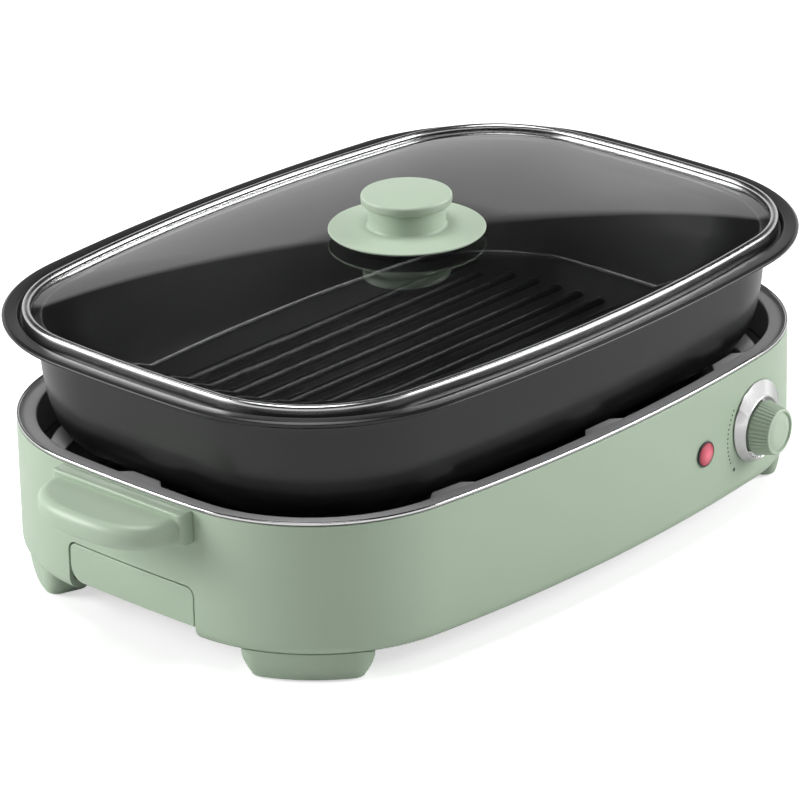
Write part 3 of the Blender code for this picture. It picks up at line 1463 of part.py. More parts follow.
def rib_mesh():
    """Ribs along X, their ends kept inside the rib field."""
    low = PAN_FLOOR_TOP - RIB_ROOT
    high = PAN_FLOOR_TOP + RIB_HEIGHT
    half_low = RIB_WIDTH * HALF
    half_high = RIB_TOP_WIDTH * HALF
    spaces = int((PAN_HALF_WIDTH - RIB_SIDE_INSET) / (RIB_PITCH * HALF))
    parts = []
    for i in range(spaces + 1):
        y = (i - spaces * HALF) * RIB_PITCH
        reach = PAN.end_x(y, RIB_FIELD_INSET)
        bm = box_mesh((-reach, y - half_low, low), (reach, y + half_low, high))
        top = [v for v in bm.verts if v.co.z > high - MERGE]
        for v in top:
            v.co.y = y + (half_high if v.co.y > y else -half_high)
            v.co.x -= math.copysign(RIB_HEIGHT, v.co.x)
        parts.append(bm)
    return merge_meshes(parts)


# Lid


def lid_rim(finish, lift):
    sheet = LID_RIM_SHEET
    top = LID_RIM_TOP
    section = [
        (0, LID_BOTTOM),
        (0, top - LID_RIM_CROWN),
        (LID_RIM_CROWN, top),
        (LID_RIM_WIDTH - LID_RIM_CROWN, top),
        (LID_RIM_WIDTH, top - LID_RIM_CROWN),
        (LID_RIM_WIDTH, GLASS_EDGE_TOP + GAP),
        (LID_RIM_WIDTH - sheet, GLASS_EDGE_TOP + GAP),
        (LID_RIM_WIDTH - sheet, top - LID_RIM_CROWN),
        (LID_RIM_WIDTH - LID_RIM_CROWN, top - sheet),
        (LID_RIM_CROWN, top - sheet),
        (sheet, top - LID_RIM_CROWN),
        (sheet, LID_BOTTOM + sheet),
        (LID_RIM_WIDTH, LID_BOTTOM + sheet),
        (LID_RIM_WIDTH, LID_BOTTOM),
    ]
    piece("lid_rim", ring_mesh(LID, section), finish, parent=lift)


def glass_height(share):
    return GLASS_RISE * (1 - share**GLASS_POWER_SHARE)


def lid_glass(finish, lift):
    """A shallow dome over the lid's plan, with a hole in the middle for the knob's screw."""
    edge = LID.loop(GLASS_EDGE_INSET)
    first = LID.loop(LID_RIM_WIDTH + GAP)

    def flat(points, z):
        return [(p.x, p.y, z) for p in points]

    def surface(base):
        loops = [flat(edge, base), flat(first, base)]
        for share in GLASS_RING_SHARES:
            loops.append([(p.x * share, p.y * share, base + glass_height(share)) for p in first])
        loops.append([(*(p.normalized() * GLASS_HOLE_RADIUS), base + GLASS_RISE) for p in edge])
        return loops

    loops = surface(GLASS_EDGE_TOP) + list(reversed(surface(GLASS_EDGE_BOTTOM)))
    piece("lid_glass", loft(loops, closed=True), finish, parent=lift)


def lid_knob(knob_finish, rubber_finish, steel_finish, lift):
    """A wide thin skirt with a neck, and a flat cap on it, screwed through the glass."""
    foot = KNOB_SKIRT_TOP + KNOB_SKIRT_EDGE * HALF
    section = [
        (KNOB_BORE_RADIUS, KNOB_NECK_TOP),
        (KNOB_NECK_RADIUS, KNOB_NECK_TOP),
        (KNOB_NECK_RADIUS, foot + KNOB_NECK_FILLET),
        (KNOB_NECK_RADIUS + KNOB_NECK_FILLET, foot),
        (KNOB_SKIRT_RADIUS - KNOB_SKIRT_EDGE, KNOB_SKIRT_TOP),
        (KNOB_SKIRT_RADIUS, KNOB_SKIRT_TOP - KNOB_SKIRT_EDGE * HALF),
        (KNOB_SKIRT_RADIUS - KNOB_SKIRT_EDGE * HALF, KNOB_SKIRT_LOW),
        (GASKET_RADIUS, KNOB_UNDER),
        (KNOB_BORE_RADIUS, KNOB_UNDER),
    ]
    skirt = turned_mesh(section, LARGE_STEPS, closed=True)
    piece("lid_knob_skirt", skirt, knob_finish, parent=lift)
    cap_low = KNOB_CAP_LOW
    bore_top = KNOB_CAP_TOP - KNOB_CAP_HEIGHT * HALF
    section = [
        (0, KNOB_CAP_TOP + KNOB_CAP_CROWN),
        (KNOB_CAP_RADIUS * HALF, KNOB_CAP_TOP + KNOB_CAP_CROWN * HALF),
        (KNOB_CAP_RADIUS - KNOB_CAP_ROUND, KNOB_CAP_TOP),
        (KNOB_CAP_RADIUS, KNOB_CAP_TOP - KNOB_CAP_ROUND),
        (KNOB_CAP_RADIUS, cap_low + KNOB_CAP_ROUND),
        (KNOB_CAP_RADIUS - KNOB_CAP_ROUND, cap_low),
        (KNOB_BORE_RADIUS, cap_low),
        (KNOB_BORE_RADIUS, bore_top),
        (0, bore_top),
    ]
    piece("lid_knob_cap", turned_mesh(section, LARGE_STEPS), knob_finish, parent=lift)
    section = [
        (GASKET_BORE, GASKET_TOP),
        (GASKET_RADIUS, GASKET_TOP),
        (GASKET_RADIUS, GASKET_BOTTOM),
        (GASKET_BORE, GASKET_BOTTOM),
    ]
    piece("lid_knob_gasket", turned_mesh(section, LARGE_STEPS, closed=True), rubber_finish, parent=lift)
    washer_top = GLASS_UNDER - GAP
    washer_low = washer_top - LID_WASHER_THICKNESS
    bore = LID_SCREW_RADIUS + GAP
    section = [
        (bore, washer_top),
        (LID_WASHER_RADIUS, washer_top),
        (LID_WASHER_RADIUS, washer_low),
        (bore, washer_low),
    ]
    piece("lid_knob_washer", turned_mesh(section, MEDIUM_STEPS, closed=True), steel_finish, parent=lift)
    head_top = washer_low - GAP
    shank_top = bore_top - GAP
    section = [
        (0, shank_top),
        (LID_SCREW_RADIUS, shank_top),
        (LID_SCREW_RADIUS, head_top),
        (LID_SCREW_HEAD_RADIUS, head_top),
        (LID_SCREW_HEAD_RADIUS, head_top - LID_SCREW_HEAD * HALF),
        (LID_SCREW_HEAD_RADIUS * HALF, head_top - LID_SCREW_HEAD),
        (0, head_top - LID_SCREW_HEAD),
    ]
    piece("lid_knob_screw", turned_mesh(section, SMALL_STEPS), steel_finish, parent=lift)


def build():
    for old in list(bpy.data.objects):
        bpy.data.objects.remove(old)
    sage = material("sage_plastic", (0.39, 0.48, 0.38), 0.42)
    pale_sage = material("pale_sage_plastic", (0.52, 0.60, 0.50), 0.38)
    chrome = material("chrome_trim", (0.80, 0.80, 0.80), 0.12, 1.0)
    dark = material("dark_plastic", (0.045, 0.045, 0.047), 0.5)
    nonstick = material("nonstick_black", (0.016, 0.016, 0.016), 0.38)
    steel = material("steel", (0.62, 0.62, 0.61), 0.3, 1.0)
    sheath = material("element_sheath", (0.20, 0.19, 0.18), 0.45, 1.0)
    rubber = material("rubber_black", (0.02, 0.02, 0.02), 0.8)
    glass = material("tempered_glass", (0.55, 0.58, 0.57), 0.05, alpha=0.35)
    red = material("red_lens", (0.60, 0.05, 0.08), 0.2)
    lamp = material("lamp_holder", (0.75, 0.72, 0.66), 0.4)
    ceramic = material("ceramic", (0.70, 0.66, 0.60), 0.6)
    sleeve = material("wire_sleeve", (0.55, 0.52, 0.47), 0.7)

    housing_shell(sage)
    housing_bottom_ring(sage)
    rim_trim(chrome)
    well_ring(dark)
    bottom_cover(dark)
    cover_screws(steel)
    feet(sage, rubber)
    heat_reflector(steel)
    tube("heating_element", element_route(), TUBE_RADIUS, TUBE_BEVEL_STEPS, sheath)
    element_brackets(steel)
    pan_rests(steel)
    thermal_fuse(ceramic, steel)
    terminal_block(ceramic)
    thermostat(dark, steel)
    knob_bezel(chrome)
    control_knob(pale_sage, steel)
    indicator(red, lamp)
    power_inlet(dark, steel)
    leads(sleeve)
    end_handle("left", -1, sage, steel)
    end_handle("right", 1, sage, steel)
    drawer(sage, dark)
    drawer_rails(dark)
    pan_lift = guide("pan_lift", Matrix.Translation((0, 0, PAN_BOTTOM)))
    grill_pan(nonstick, pan_lift)
    lid_lift = guide("lid_lift", Matrix.Translation((0, 0, LID_BOTTOM)))
    lid_rim(steel, lid_lift)
    lid_glass(glass, lid_lift)
    lid_knob(pale_sage, rubber, steel, lid_lift)


build()
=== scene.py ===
# The looks of a smokeless electric grill: a sage green base with a bright trim line, a black ribbed
# pan, a glass lid with a steel rim, a drip drawer, a fluted dial and a red lamp.
# Metres, +Z up. The drawer is at -X and the dial is on the -Y side.

import json
import math

import bmesh
import bpy
from mathutils import Matrix, Vector

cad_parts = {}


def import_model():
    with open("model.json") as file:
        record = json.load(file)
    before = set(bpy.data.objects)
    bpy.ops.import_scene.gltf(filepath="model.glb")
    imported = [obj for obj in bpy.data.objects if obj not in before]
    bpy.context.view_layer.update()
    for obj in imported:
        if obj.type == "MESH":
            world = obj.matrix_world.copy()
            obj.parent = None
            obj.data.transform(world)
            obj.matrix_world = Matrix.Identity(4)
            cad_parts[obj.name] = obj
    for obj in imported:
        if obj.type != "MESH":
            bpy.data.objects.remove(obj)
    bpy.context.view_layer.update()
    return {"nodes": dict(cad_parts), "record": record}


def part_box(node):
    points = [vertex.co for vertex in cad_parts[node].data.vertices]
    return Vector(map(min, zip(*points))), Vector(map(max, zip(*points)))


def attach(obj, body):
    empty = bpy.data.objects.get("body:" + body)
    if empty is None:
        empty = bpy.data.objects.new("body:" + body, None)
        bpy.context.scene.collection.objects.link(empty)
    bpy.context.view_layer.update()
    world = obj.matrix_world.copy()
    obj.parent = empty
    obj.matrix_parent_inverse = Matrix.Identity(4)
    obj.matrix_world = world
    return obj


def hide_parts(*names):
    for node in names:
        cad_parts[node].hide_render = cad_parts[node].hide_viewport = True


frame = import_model()

# Shares, clearances in metres, and turns in degrees
HALF = 0.5
QUARTER_SHARE = 0.25
GAP = 0.0003
OVERRUN = 0.002
MERGE = 0.000001
QUARTER_TURN = 90
HALF_TURN = 180

# The photograph's view
CAMERA_AZIMUTH = -47.01
CAMERA_ELEVATION = 22.96
CAMERA_ROLL = -1.15
CAMERA_DISTANCE = 2.423
CAMERA_LENS = 216.9
SENSOR_WIDTH = 36.0
AIM_HEIGHT = 0.085
AIM_RIGHT = -0.0052
AIM_UP = -0.0206

# Plan of the base: a rounded rectangle with bowed sides
BASE_HALF_LENGTH = 0.200
BASE_HALF_WIDTH = 0.1381
BASE_CORNER = 0.0908
BASE_LONG_BOW = 0.924
BASE_SHORT_BOW = 1.194

# Plan of the pan's brim
PAN_HALF_LENGTH = 0.2051
PAN_HALF_WIDTH = 0.1438
PAN_CORNER = 0.0994
PAN_LONG_BOW = 1.021
PAN_SHORT_BOW = 1.036

# Plan of the lid's rim
LID_HALF_LENGTH = 0.1922
LID_HALF_WIDTH = 0.1304
LID_CORNER = 0.0728
LID_LONG_BOW = 0.859
LID_SHORT_BOW = 0.899

# Steps along the arcs of a quarter of a plan, round turned pieces, round edges and round slots,
# and the angles from which an edge stays sharp or is rounded
LONG_STEPS = 8
CORNER_STEPS = 22
SHORT_STEPS = 5
TURN_STEPS = 96
EDGE_STEPS = 5
SMALL_EDGE_STEPS = 3
BLOCK_EDGE_STEPS = 4
WIDE_ROUND_STEPS = 8
SLOT_STEPS = 8
SHARP_DEG = 38
BEVEL_DEG = 50

# Base heights and widths
BODY_BOTTOM = 0.014
RIM_TOP = 0.085
SHELL_WALL = 0.0026
SHELL_FILLET = 0.008
SHELL_LIP_WIDTH = 0.0006
SHELL_TOP = 0.0829
SHELL_SHELF = 0.0822
SHELL_EDGE = 0.0005
FLANGE_START = 0.0123
FLANGE_END = 0.024
FLANGE_BOTTOM = 0.0163
FLANGE_TOP = 0.0185
FLANGE_EDGE = 0.0004
COVER_TOP = 0.016
TRIM_WIDTH = 0.0014
TRIM_HEIGHT = 0.0014
TRIM_ROUND = 0.0006

# Well ring with its tabs
LEDGE_TOP = 0.0835
LEDGE_START = 0.0009
LEDGE_WIDTH = 0.010
LEDGE_THICKNESS = 0.0025
LEDGE_ROUND = 0.0008
SKIRT_WALL = 0.0016
SKIRT_BOTTOM = 0.0635
TAB_PITCH = 0.1037
TAB_BASE_WIDTH = 0.0284
TAB_TIP_WIDTH = 0.0180
TAB_DEPTH = 0.0045
TAB_ROUND = 0.0005

# Pan: profiles as (inset from the brim's outline, height)
PAN_INNER = (
    (0.0445, 0.0750),
    (0.0347, 0.0750),
    (0.0335, 0.0753),
    (0.0328, 0.0761),
    (0.0324, 0.0775),
    (0.0301, 0.0870),
    (0.0275, 0.0980),
    (0.0250, 0.1090),
    (0.0227, 0.1190),
    (0.0208, 0.1280),
)
PAN_BRIM = (
    (0.0203, 0.1336, 0.0016),
    (0.0088, 0.1337, 0.0010),
    (0.0076, 0.1371, 0.0007),
    (0.0014, 0.1375, 0.0012),
    (0.0, 0.1364, 0.0006),
    (0.0002, 0.1352, 0.0005),
    (0.0016, 0.1343, 0.0008),
    (0.0074, 0.1334, 0.0016),
    (0.0098, 0.1303, 0.0014),
    (0.0155, 0.1300, 0.0016),
)
PAN_OUTER = (
    (0.0171, 0.1262),
    (0.0178, 0.1150),
    (0.0187, 0.1060),
    (0.0202, 0.0970),
    (0.0222, 0.0895),
    (0.0252, 0.0828),
    (0.0296, 0.0769),
    (0.0348, 0.0733),
    (0.0400, 0.0715),
    (0.0445, 0.0710),
)
PAN_SMOOTH_STEPS = 4
RIB_PITCH = 0.0146
RIB_COUNT = 12
RIB_SECTION = (
    (0.0026, -0.0006),
    (0.0025, 0.0004),
    (0.0022, 0.0013),
    (0.0018, 0.0023),
    (0.0013, 0.0031),
    (0.0006, 0.0035),
)
RIB_END_SHARES = ((0.0, 0.04), (0.0012, 0.35), (0.0026, 0.70), (0.0045, 0.93), (0.0070, 1.0))
RIB_FIELD_INSET = 0.064
PAN_FLOOR_TOP = 0.075

# Lid
LID_BOTTOM = 0.1339
LID_RIM_TOP = 0.1415
LID_RIM_WIDTH = 0.0043
LID_RIM_SHEET = 0.0008
LID_RIM_ROUND = 0.0020
LID_RIM_LIP = 0.1389
GLASS_EDGE_BOTTOM = 0.135
GLASS_EDGE_TOP = 0.1386
GLASS_EDGE_INSET = 0.0011
GLASS_RISE = 0.0128
GLASS_POWER_SHARE = 3.0
GLASS_RING_COUNT = 30
GLASS_HOLE_RADIUS = 0.0045
SKIRT_RADIUS = 0.0396
SKIRT_TOP = 0.1568
SKIRT_EDGE_BOTTOM = 0.1553
SKIRT_UNDER = 0.15455
SKIRT_CROWN = 0.0006
NECK_RADIUS = 0.0194
NECK_TOP = 0.1689
NECK_FLARE = 0.0016
CAP_RADIUS = 0.0228
CAP_LOW = 0.1692
CAP_TOP = 0.1745
CAP_CROWN = 0.0011
CAP_ROUND = 0.0015
CAP_CROWN_RING_SHARE = 0.82
KNOB_BORE = 0.0024
CAP_BORE_TOP = 0.17185
GASKET_RADIUS = 0.030
GASKET_BORE = 0.0062
GASKET_BOTTOM = 0.1517
GASKET_TOP = 0.15425
GASKET_ROUND = 0.0007
WASHER_RADIUS = 0.0085
WASHER_BORE = 0.0023
WASHER_TOP = 0.1475
WASHER_LOW = 0.1463
WASHER_ROUND = 0.0003
LID_SCREW_RADIUS = 0.0020
LID_SCREW_HEAD_RADIUS = 0.0046
LID_SCREW_HEAD_TOP = 0.146
LID_SCREW_HEAD_LOW = 0.1436
LID_SCREW_TOP = 0.17155

# Handles
HANDLE_HALF_WIDTH = 0.0441
HANDLE_BLOCK_X = 0.2072
HANDLE_BLOCK_TOP = 0.0825
HANDLE_BLOCK_BOTTOM = 0.066
HANDLE_BLOCK_ROUND = 0.003
HANDLE_EDGE = 0.0011
EAR_ROOT_X = 0.2036
EAR_REACH_X = 0.2347
EAR_TOP = 0.0799
EAR_BOTTOM = 0.0664
EAR_HALF_WIDTH = 0.0425
EAR_ROUND = 0.0052
EAR_POWER_SHARE = 2.5
EAR_STEPS = 64
EAR_EDGE_STEPS = 8

# Drawer
DRAWER_HALF_WIDTH = 0.0419
DRAWER_TOP = 0.0412
DRAWER_BOTTOM = 0.0215
DRAWER_TOP_ROUND = 0.004
DRAWER_LOW_ROUND = 0.008
DRAWER_RECESS = 0.0002
DRAWER_FRONT_THICKNESS = 0.003
DRAWER_GAP = 0.0010
DRAWER_EDGE = 0.0004
DRAWER_BLOCK_DEPTH = 0.012
NOTCH_DEPTH = 0.042
TRAY_FRONT_X = -0.1953
TRAY_BACK_X = -0.0557
TRAY_HALF_WIDTH = 0.0375
TRAY_BOTTOM = 0.024
TRAY_TOP = 0.040
TRAY_WALL = 0.0016
TRAY_CORNER = 0.006
TRAY_FLOOR_ROUND = 0.003
RUNNER_FRONT_X = -0.158
RUNNER_WIDTH = 0.0032
RUNNER_LOW = 0.032
RUNNER_TOP = 0.034
RUNNER_ROUND = 0.0006

# Feet
FOOT_START_DEG = 14.9
FOOT_END_DEG = 61.3
FOOT_LOW = 0.0006
FOOT_TOP_INSET = 0.003
FOOT_DRAFT = 0.0022
FOOT_END_FLARE = 0.0022
FOOT_FLARE_STEPS = 6
FOOT_FLARE_POWER = 2.0
FOOT_POINTS = 96
FOOT_WIDTH = 0.026
FOOT_CORNER = 0.0080
FOOT_EDGE = 0.0012
FOOT_GAP = 0.0004
PAD_HEIGHT = 0.0015
PAD_RADIUS = 0.0085
PAD_ROUND = 0.0004
PAD_SEAT_DEPTH = 0.0012

# Dial, lamp and marks
DIAL_X = 0.115
DIAL_Z = 0.0467
BEZEL_BASE_RADIUS = 0.0215
BEZEL_BASE_RISE = 0.0030
BEZEL_EDGE = 0.0005
BEZEL_REACH = 0.0040
BEZEL_FACE_RADIUS = 0.0166
BEZEL_FACE_ROUND = 0.0004
BEZEL_CUP_RADIUS = 0.0156
BEZEL_CUP_FLOOR = 0.0007
BUSHING_RADIUS = 0.0053
KNOB_LOW = 0.0021
KNOB_TOP = 0.0144
KNOB_BASE_RADIUS = 0.0143
KNOB_FOOT_RADIUS = 0.0133
KNOB_CONE_START = 0.0040
KNOB_CONE_EDGE = 0.0003
KNOB_END_RADIUS = 0.0121
KNOB_RING_RADIUS = 0.0104
KNOB_RING_DEPTH = 0.0009
KNOB_EDGE = 0.0010
KNOB_FLUTES = 40
KNOB_FLUTE_DEPTH = 0.00055
KNOB_FLUTE_POINTS = 6
SHAFT_BORE = 0.0033
SHAFT_BORE_TOP = 0.0109
LENS_X = 0.0688
LENS_Z = 0.048
LENS_RADIUS = 0.0067
LENS_RING = 0.0009
LENS_RING_HEIGHT = 0.0010
LENS_FACE = 0.0011
LENS_CROWN = 0.0011
LENS_BARREL_RADIUS = 0.0056
LENS_BARREL_END = -0.011
LENS_WALL = 0.001
MARK_CIRCLE = 0.0262
MARK_START_DEG = 143
MARK_STEP_DEG = 5.35
MARK_COUNT = 13
MARK_RADIUS = 0.00056
MARK_LARGE_RADIUS = 0.0010
MARK_LARGE_DEG = 219.5
MARK_HEIGHT = 0.00008

# Inlet in the back wall
INLET_HALF_WIDTH = 0.012
INLET_HALF_HEIGHT = 0.0085
INLET_Z = 0.0445
INLET_FLANGE = 0.002
INLET_FACE_Y = 0.1398
INLET_SEAT_Y = 0.1384
INLET_BACK_Y = 0.1155
INLET_FLOOR_Y = 0.1248
INLET_WALL = 0.002
INLET_CHAMFER = 0.0042
INLET_OUTER_CHAMFER = 0.0012
INLET_EDGE = 0.0004

# Hot side
REFLECTOR_TOP = 0.0632
REFLECTOR_FLOOR = 0.0567
REFLECTOR_SHEET = 0.001
REFLECTOR_FLANGE_START = 0.007
REFLECTOR_FLANGE_END = 0.0145
REFLECTOR_DISH_START = 0.0215
REFLECTOR_BEND = 0.003
DRIP_SLOT_X = -0.150
DRIP_SLOT_LENGTH = 0.012
DRIP_SLOT_WIDTH = 0.050
TUBE_RADIUS = 0.0035
TUBE_Z = 0.0672
TUBE_OUTER_RUN_Y = 0.062
TUBE_INNER_RUN_Y = 0.030
TUBE_END_X = 0.150
TUBE_FAR_X = -0.130
TUBE_CORNER = 0.030
TUBE_TURN_X = 0.100
TUBE_INNER_TURN_X = -0.070
TUBE_LEG_BEND = 0.010
TUBE_LEG_DROP = 0.014
TUBE_LEG_HOLE = 0.005
TUBE_ARC_STEPS = 16
TUBE_BEND_STEPS = 8
TUBE_ROUND_LEVEL = 6

# Bottom cover
COVER_SLOT_LENGTH = 0.040
COVER_SLOT_WIDTH = 0.004
COVER_SLOT_PITCH = 0.014
COVER_SLOT_COUNT = 5
COVER_SLOT_X = 0.060
COVER_EDGE = 0.0006
COVER_START = 0.0126
BOSS_INSET = 0.0175
FRONT_BOSS_X = (-0.090, 0.020)
BACK_BOSS_X = (-0.090, 0.090)
SCREW_RADIUS = 0.0016
SCREW_HEAD_RADIUS = 0.0032
SCREW_HEAD = 0.0018
SCREW_SLOT_WIDTH = 0.0007
SCREW_SLOT_DEPTH = 0.0009
SCREW_SLOT_LENGTH = 0.0036
COVER_SCREW_LENGTH = 0.010
SCREW_STEPS = 28

# Floor: its glow to the camera, and to reflections from the start to the end of the far part
FLOOR_SIZE = 14.0
FLOOR_Z = -0.0002
FLOOR_COLOUR = (0.80, 0.80, 0.80, 1)
FLOOR_ROUGHNESS = 0.9
FLOOR_GLOW = 0.6
FAR_FLOOR_GLOW = 0.5
FAR_FLOOR_START = 0.45
FAR_FLOOR_END = 1.0

# Surroundings: brightness, and the slopes where the bright horizon ends and the sky starts
WHITE = (1, 1, 1, 1)
HORIZON_LIGHT = 0.9
SKY_LIGHT = 0.02
HORIZON_TOP = 0.325
SKY_START = 0.355
FILL_LIGHT = 0.03

# Lamps, each with its place, its size and its power
LAMP_AIM = (0, 0, 0.05)
WIDE_LAMP = (1.5, 1.2)
SMALL_LAMP = (0.4, 0.4)
LAMPS = {
    "left_back": ((-1.7, 1.6, 1.0), WIDE_LAMP, 54),
    "front_right": ((1.7, -1.7, 1.1), WIDE_LAMP, 56),
    "top": ((-0.3, 0.1, 2.4), WIDE_LAMP, 32),
    "right_high": ((1.43, -0.35, 1.77), SMALL_LAMP, 2),
    "back_high": ((-0.14, 1.45, 1.79), SMALL_LAMP, 2),
}

# Finishes: how fine the surface noise is, and the middle range of its values that is used
CLOUD_DETAIL = 3.0
WEAR_DETAIL = 4.0
WEAR_FINENESS = 3.0
GRAIN_DETAIL = 1.0
NOISE_LOW = 0.3
NOISE_HIGH = 0.7
# The lens's painted shade at its rim, its painted highlight in the middle, and the strength of its
# painted glow
LENS_PAINTED_RIM_SHADE = (0.25, 0.008, 0.02, 1)
LENS_PAINTED_HIGHLIGHT = (0.95, 0.22, 0.30, 1)
LENS_PAINTED_GLOW = 0.25
GLASS_DARK = (0.94, 0.945, 0.943, 1)
GLASS_BRIGHT = (0.96, 0.963, 0.962, 1)
GLASS_CLOUD = 9.0
GLASS_IOR = 1.42


class Plan:
    """A bowed rounded rectangle: three tangent arcs in each quarter."""

    def __init__(self, half_length, half_width, corner, long_bow, short_bow):
        self.corner = corner
        self.long_bow = long_bow
        self.short_bow = short_bow
        self.long_centre = Vector((0, half_width - long_bow))
        self.short_centre = Vector((half_length - short_bow, 0))
        across = self.short_centre - self.long_centre
        from_long = long_bow - corner
        from_short = short_bow - corner
        along = (from_long**2 - from_short**2 + across.length_squared) / (2 * across.length)
        side = math.sqrt(from_long**2 - along**2)
        unit = across.normalized()
        self.corner_centre = self.long_centre + unit * along + Vector((unit.y, -unit.x)) * side
        to_long = self.corner_centre - self.long_centre
        to_short = self.corner_centre - self.short_centre
        self.long_angle = math.atan2(to_long.y, to_long.x)
        self.short_angle = math.atan2(to_short.y, to_short.x)

    def quarter(self, inset):
        """Points of the first quarter, from +X to +Y, each arc reduced by the inset."""
        arcs = (
            (self.short_centre, self.short_bow, 0, self.short_angle, SHORT_STEPS),
            (self.corner_centre, self.corner, self.short_angle, self.long_angle, CORNER_STEPS),
            (self.long_centre, self.long_bow, self.long_angle, math.pi / 2, LONG_STEPS),
        )
        points = []
        for centre, radius, start, end, steps in arcs:
            for i in range(steps):
                angle = start + (end - start) * i / steps
                outward = Vector((math.cos(angle), math.sin(angle)))
                points.append(centre + outward * (radius - inset))
        points.append(self.long_centre + Vector((0, self.long_bow - inset)))
        return points

    def loop(self, inset=0.0):
        """The whole outline, counter-clockwise, offset inwards by the inset."""
        first = self.quarter(inset)
        second = [Vector((-p.x, p.y)) for p in reversed(first)][1:]
        upper = first + second
        return upper + [Vector((p.x, -p.y)) for p in reversed(upper)][1:-1]

    def side_y(self, x, inset=0.0):
        """Half-width of the outline at x, on the long side."""
        return self.long_centre.y + math.sqrt((self.long_bow - inset) ** 2 - x**2)

    def end_x(self, y, inset=0.0):
        """Half-length of the outline at y."""
        points = self.quarter(inset)
        for a, b in zip(points, points[1:]):
            if a.y <= abs(y) <= b.y:
                return a.x + (b.x - a.x) * (abs(y) - a.y) / (b.y - a.y)
        return points[0].x

    def side_frame(self, x, z):
        """A frame on the front wall at x: its local Z points out of the wall, its local Y up."""
        lean = math.asin(x / self.long_bow)
        outward = Vector((math.sin(lean), -math.cos(lean), 0))
        up = Vector((0, 0, 1))
        place_at = Vector((x, -self.side_y(x), z))
        turn = Matrix((up.cross(outward), up, outward)).transposed().to_4x4()
        return Matrix.Translation(place_at) @ turn


BASE = Plan(BASE_HALF_LENGTH, BASE_HALF_WIDTH, BASE_CORNER, BASE_LONG_BOW, BASE_SHORT_BOW)
PAN = Plan(PAN_HALF_LENGTH, PAN_HALF_WIDTH, PAN_CORNER, PAN_LONG_BOW, PAN_SHORT_BOW)
LID = Plan(LID_HALF_LENGTH, LID_HALF_WIDTH, LID_CORNER, LID_LONG_BOW, LID_SHORT_BOW)
DIAL_PLACE = BASE.side_frame(DIAL_X, DIAL_Z)
LENS_PLACE = BASE.side_frame(LENS_X, LENS_Z)


# Outlines and sections


def soften(corners, closed=True, steps=EDGE_STEPS):
    """A polygon with rounded corners. Each corner is two coordinates and a radius."""
    points = []
    count = len(corners)
    for i, (*place_at, radius) in enumerate(corners):
        here = Vector(place_at)
        is_end = not closed and i in (0, count - 1)
        if radius == 0 or is_end:
            points.append(here)
            continue
        before = (Vector(corners[i - 1][:2]) - here).normalized()
        after = (Vector(corners[(i + 1) % count][:2]) - here).normalized()
        half = before.angle(after) * HALF
        centre = here + (before + after).normalized() * (radius / math.sin(half))
        start = here + before * (radius / math.tan(half)) - centre
        end = here + after * (radius / math.tan(half)) - centre
        turn = math.atan2(start.x * end.y - start.y * end.x, start.dot(end))
        for k in range(steps + 1):
            angle = turn * k / steps
            cos, sin = math.cos(angle), math.sin(angle)
            around = Vector((start.x * cos - start.y * sin, start.x * sin + start.y * cos))
            points.append(centre + around)
    return [(p.x, p.y) for p in points]


def smooth_line(points, steps):
    """A Catmull-Rom curve through the points."""
    line = []
    pts = [Vector(p) for p in points]
    last = len(pts) - 1
    for i in range(last):
        a, b = pts[i], pts[i + 1]
        before = pts[i - 1] if i else a * 2 - b
        after = pts[i + 2] if i + 2 <= last else b * 2 - a
        for k in range(steps):
            t = k / steps
            bend = before * 2 - a * 5 + b * 4 - after
            twist = a * 3 - before - b * 3 + after
            line.append((a * 2 + (b - before) * t + bend * t**2 + twist * t**3) * HALF)
    line.append(pts[-1])
    return [tuple(p) for p in line]


def arc(centre, radius, start, end, steps):
    """Points on an arc, both ends included. Angles in degrees."""
    points = []
    for i in range(steps + 1):
        angle = math.radians(start + (end - start) * i / steps)
        points.append((centre[0] + radius * math.cos(angle), centre[1] + radius * math.sin(angle)))
    return points


def quarter_steps(steps=EDGE_STEPS, first=0):
    """Sine and cosine at even steps over a quarter turn."""
    for k in range(first, steps + 1):
        angle = math.radians(QUARTER_TURN * k / steps)
        yield math.sin(angle), math.cos(angle)


def slot_outline(first, second, radius, start):
    """Half a turn about the first centre from the start angle, then half a turn about the second."""
    middle = start + HALF_TURN
    ends = arc(first, radius, start, middle, SLOT_STEPS)
    return ends + arc(second, radius, middle, middle + HALF_TURN, SLOT_STEPS)


def crown(radius, height, rise):
    """The section of a shallow dome, from its top on the axis out to the radius."""
    shares = [k / EDGE_STEPS for k in range(EDGE_STEPS + 1)]
    return [(radius * share, height + rise * (1 - share**2)) for share in shares]


def centred(count, pitch):
    """Evenly spaced places about zero."""
    return [(i - (count - 1) * HALF) * pitch for i in range(count)]


def resample(points, count):
    """The same outline with another number of points."""
    pts = [Vector(p) for p in points]
    lengths = [0.0]
    for a, b in zip(pts, pts[1:] + pts[:1]):
        lengths.append(lengths[-1] + (b - a).length)
    out = []
    for k in range(count):
        want = lengths[-1] * k / count
        i = max(j for j in range(len(pts)) if lengths[j] <= want)
        a, b = pts[i], pts[(i + 1) % len(pts)]
        out.append(a.lerp(b, (want - lengths[i]) / (lengths[i + 1] - lengths[i])))
    return out


def circle(radius, z, rise=0.0, count=TURN_STEPS):
    """A circle at a height, its centre moved up its own plane by the rise."""
    points = []
    for i in range(count):
        angle = 2 * math.pi * i / count
        points.append((radius * math.cos(angle), rise + radius * math.sin(angle), z))
    return points


# Mesh building


def add_loop(bm, points):
    """A closed loop of edges through the points."""
    verts = [bm.verts.new(p) for p in points]
    for a, b in zip(verts, verts[1:] + verts[:1]):
        bm.edges.new((a, b))
    return verts


def loop_edges(bm, verts):
    return [bm.edges.get(pair) for pair in zip(verts, verts[1:] + verts[:1])]


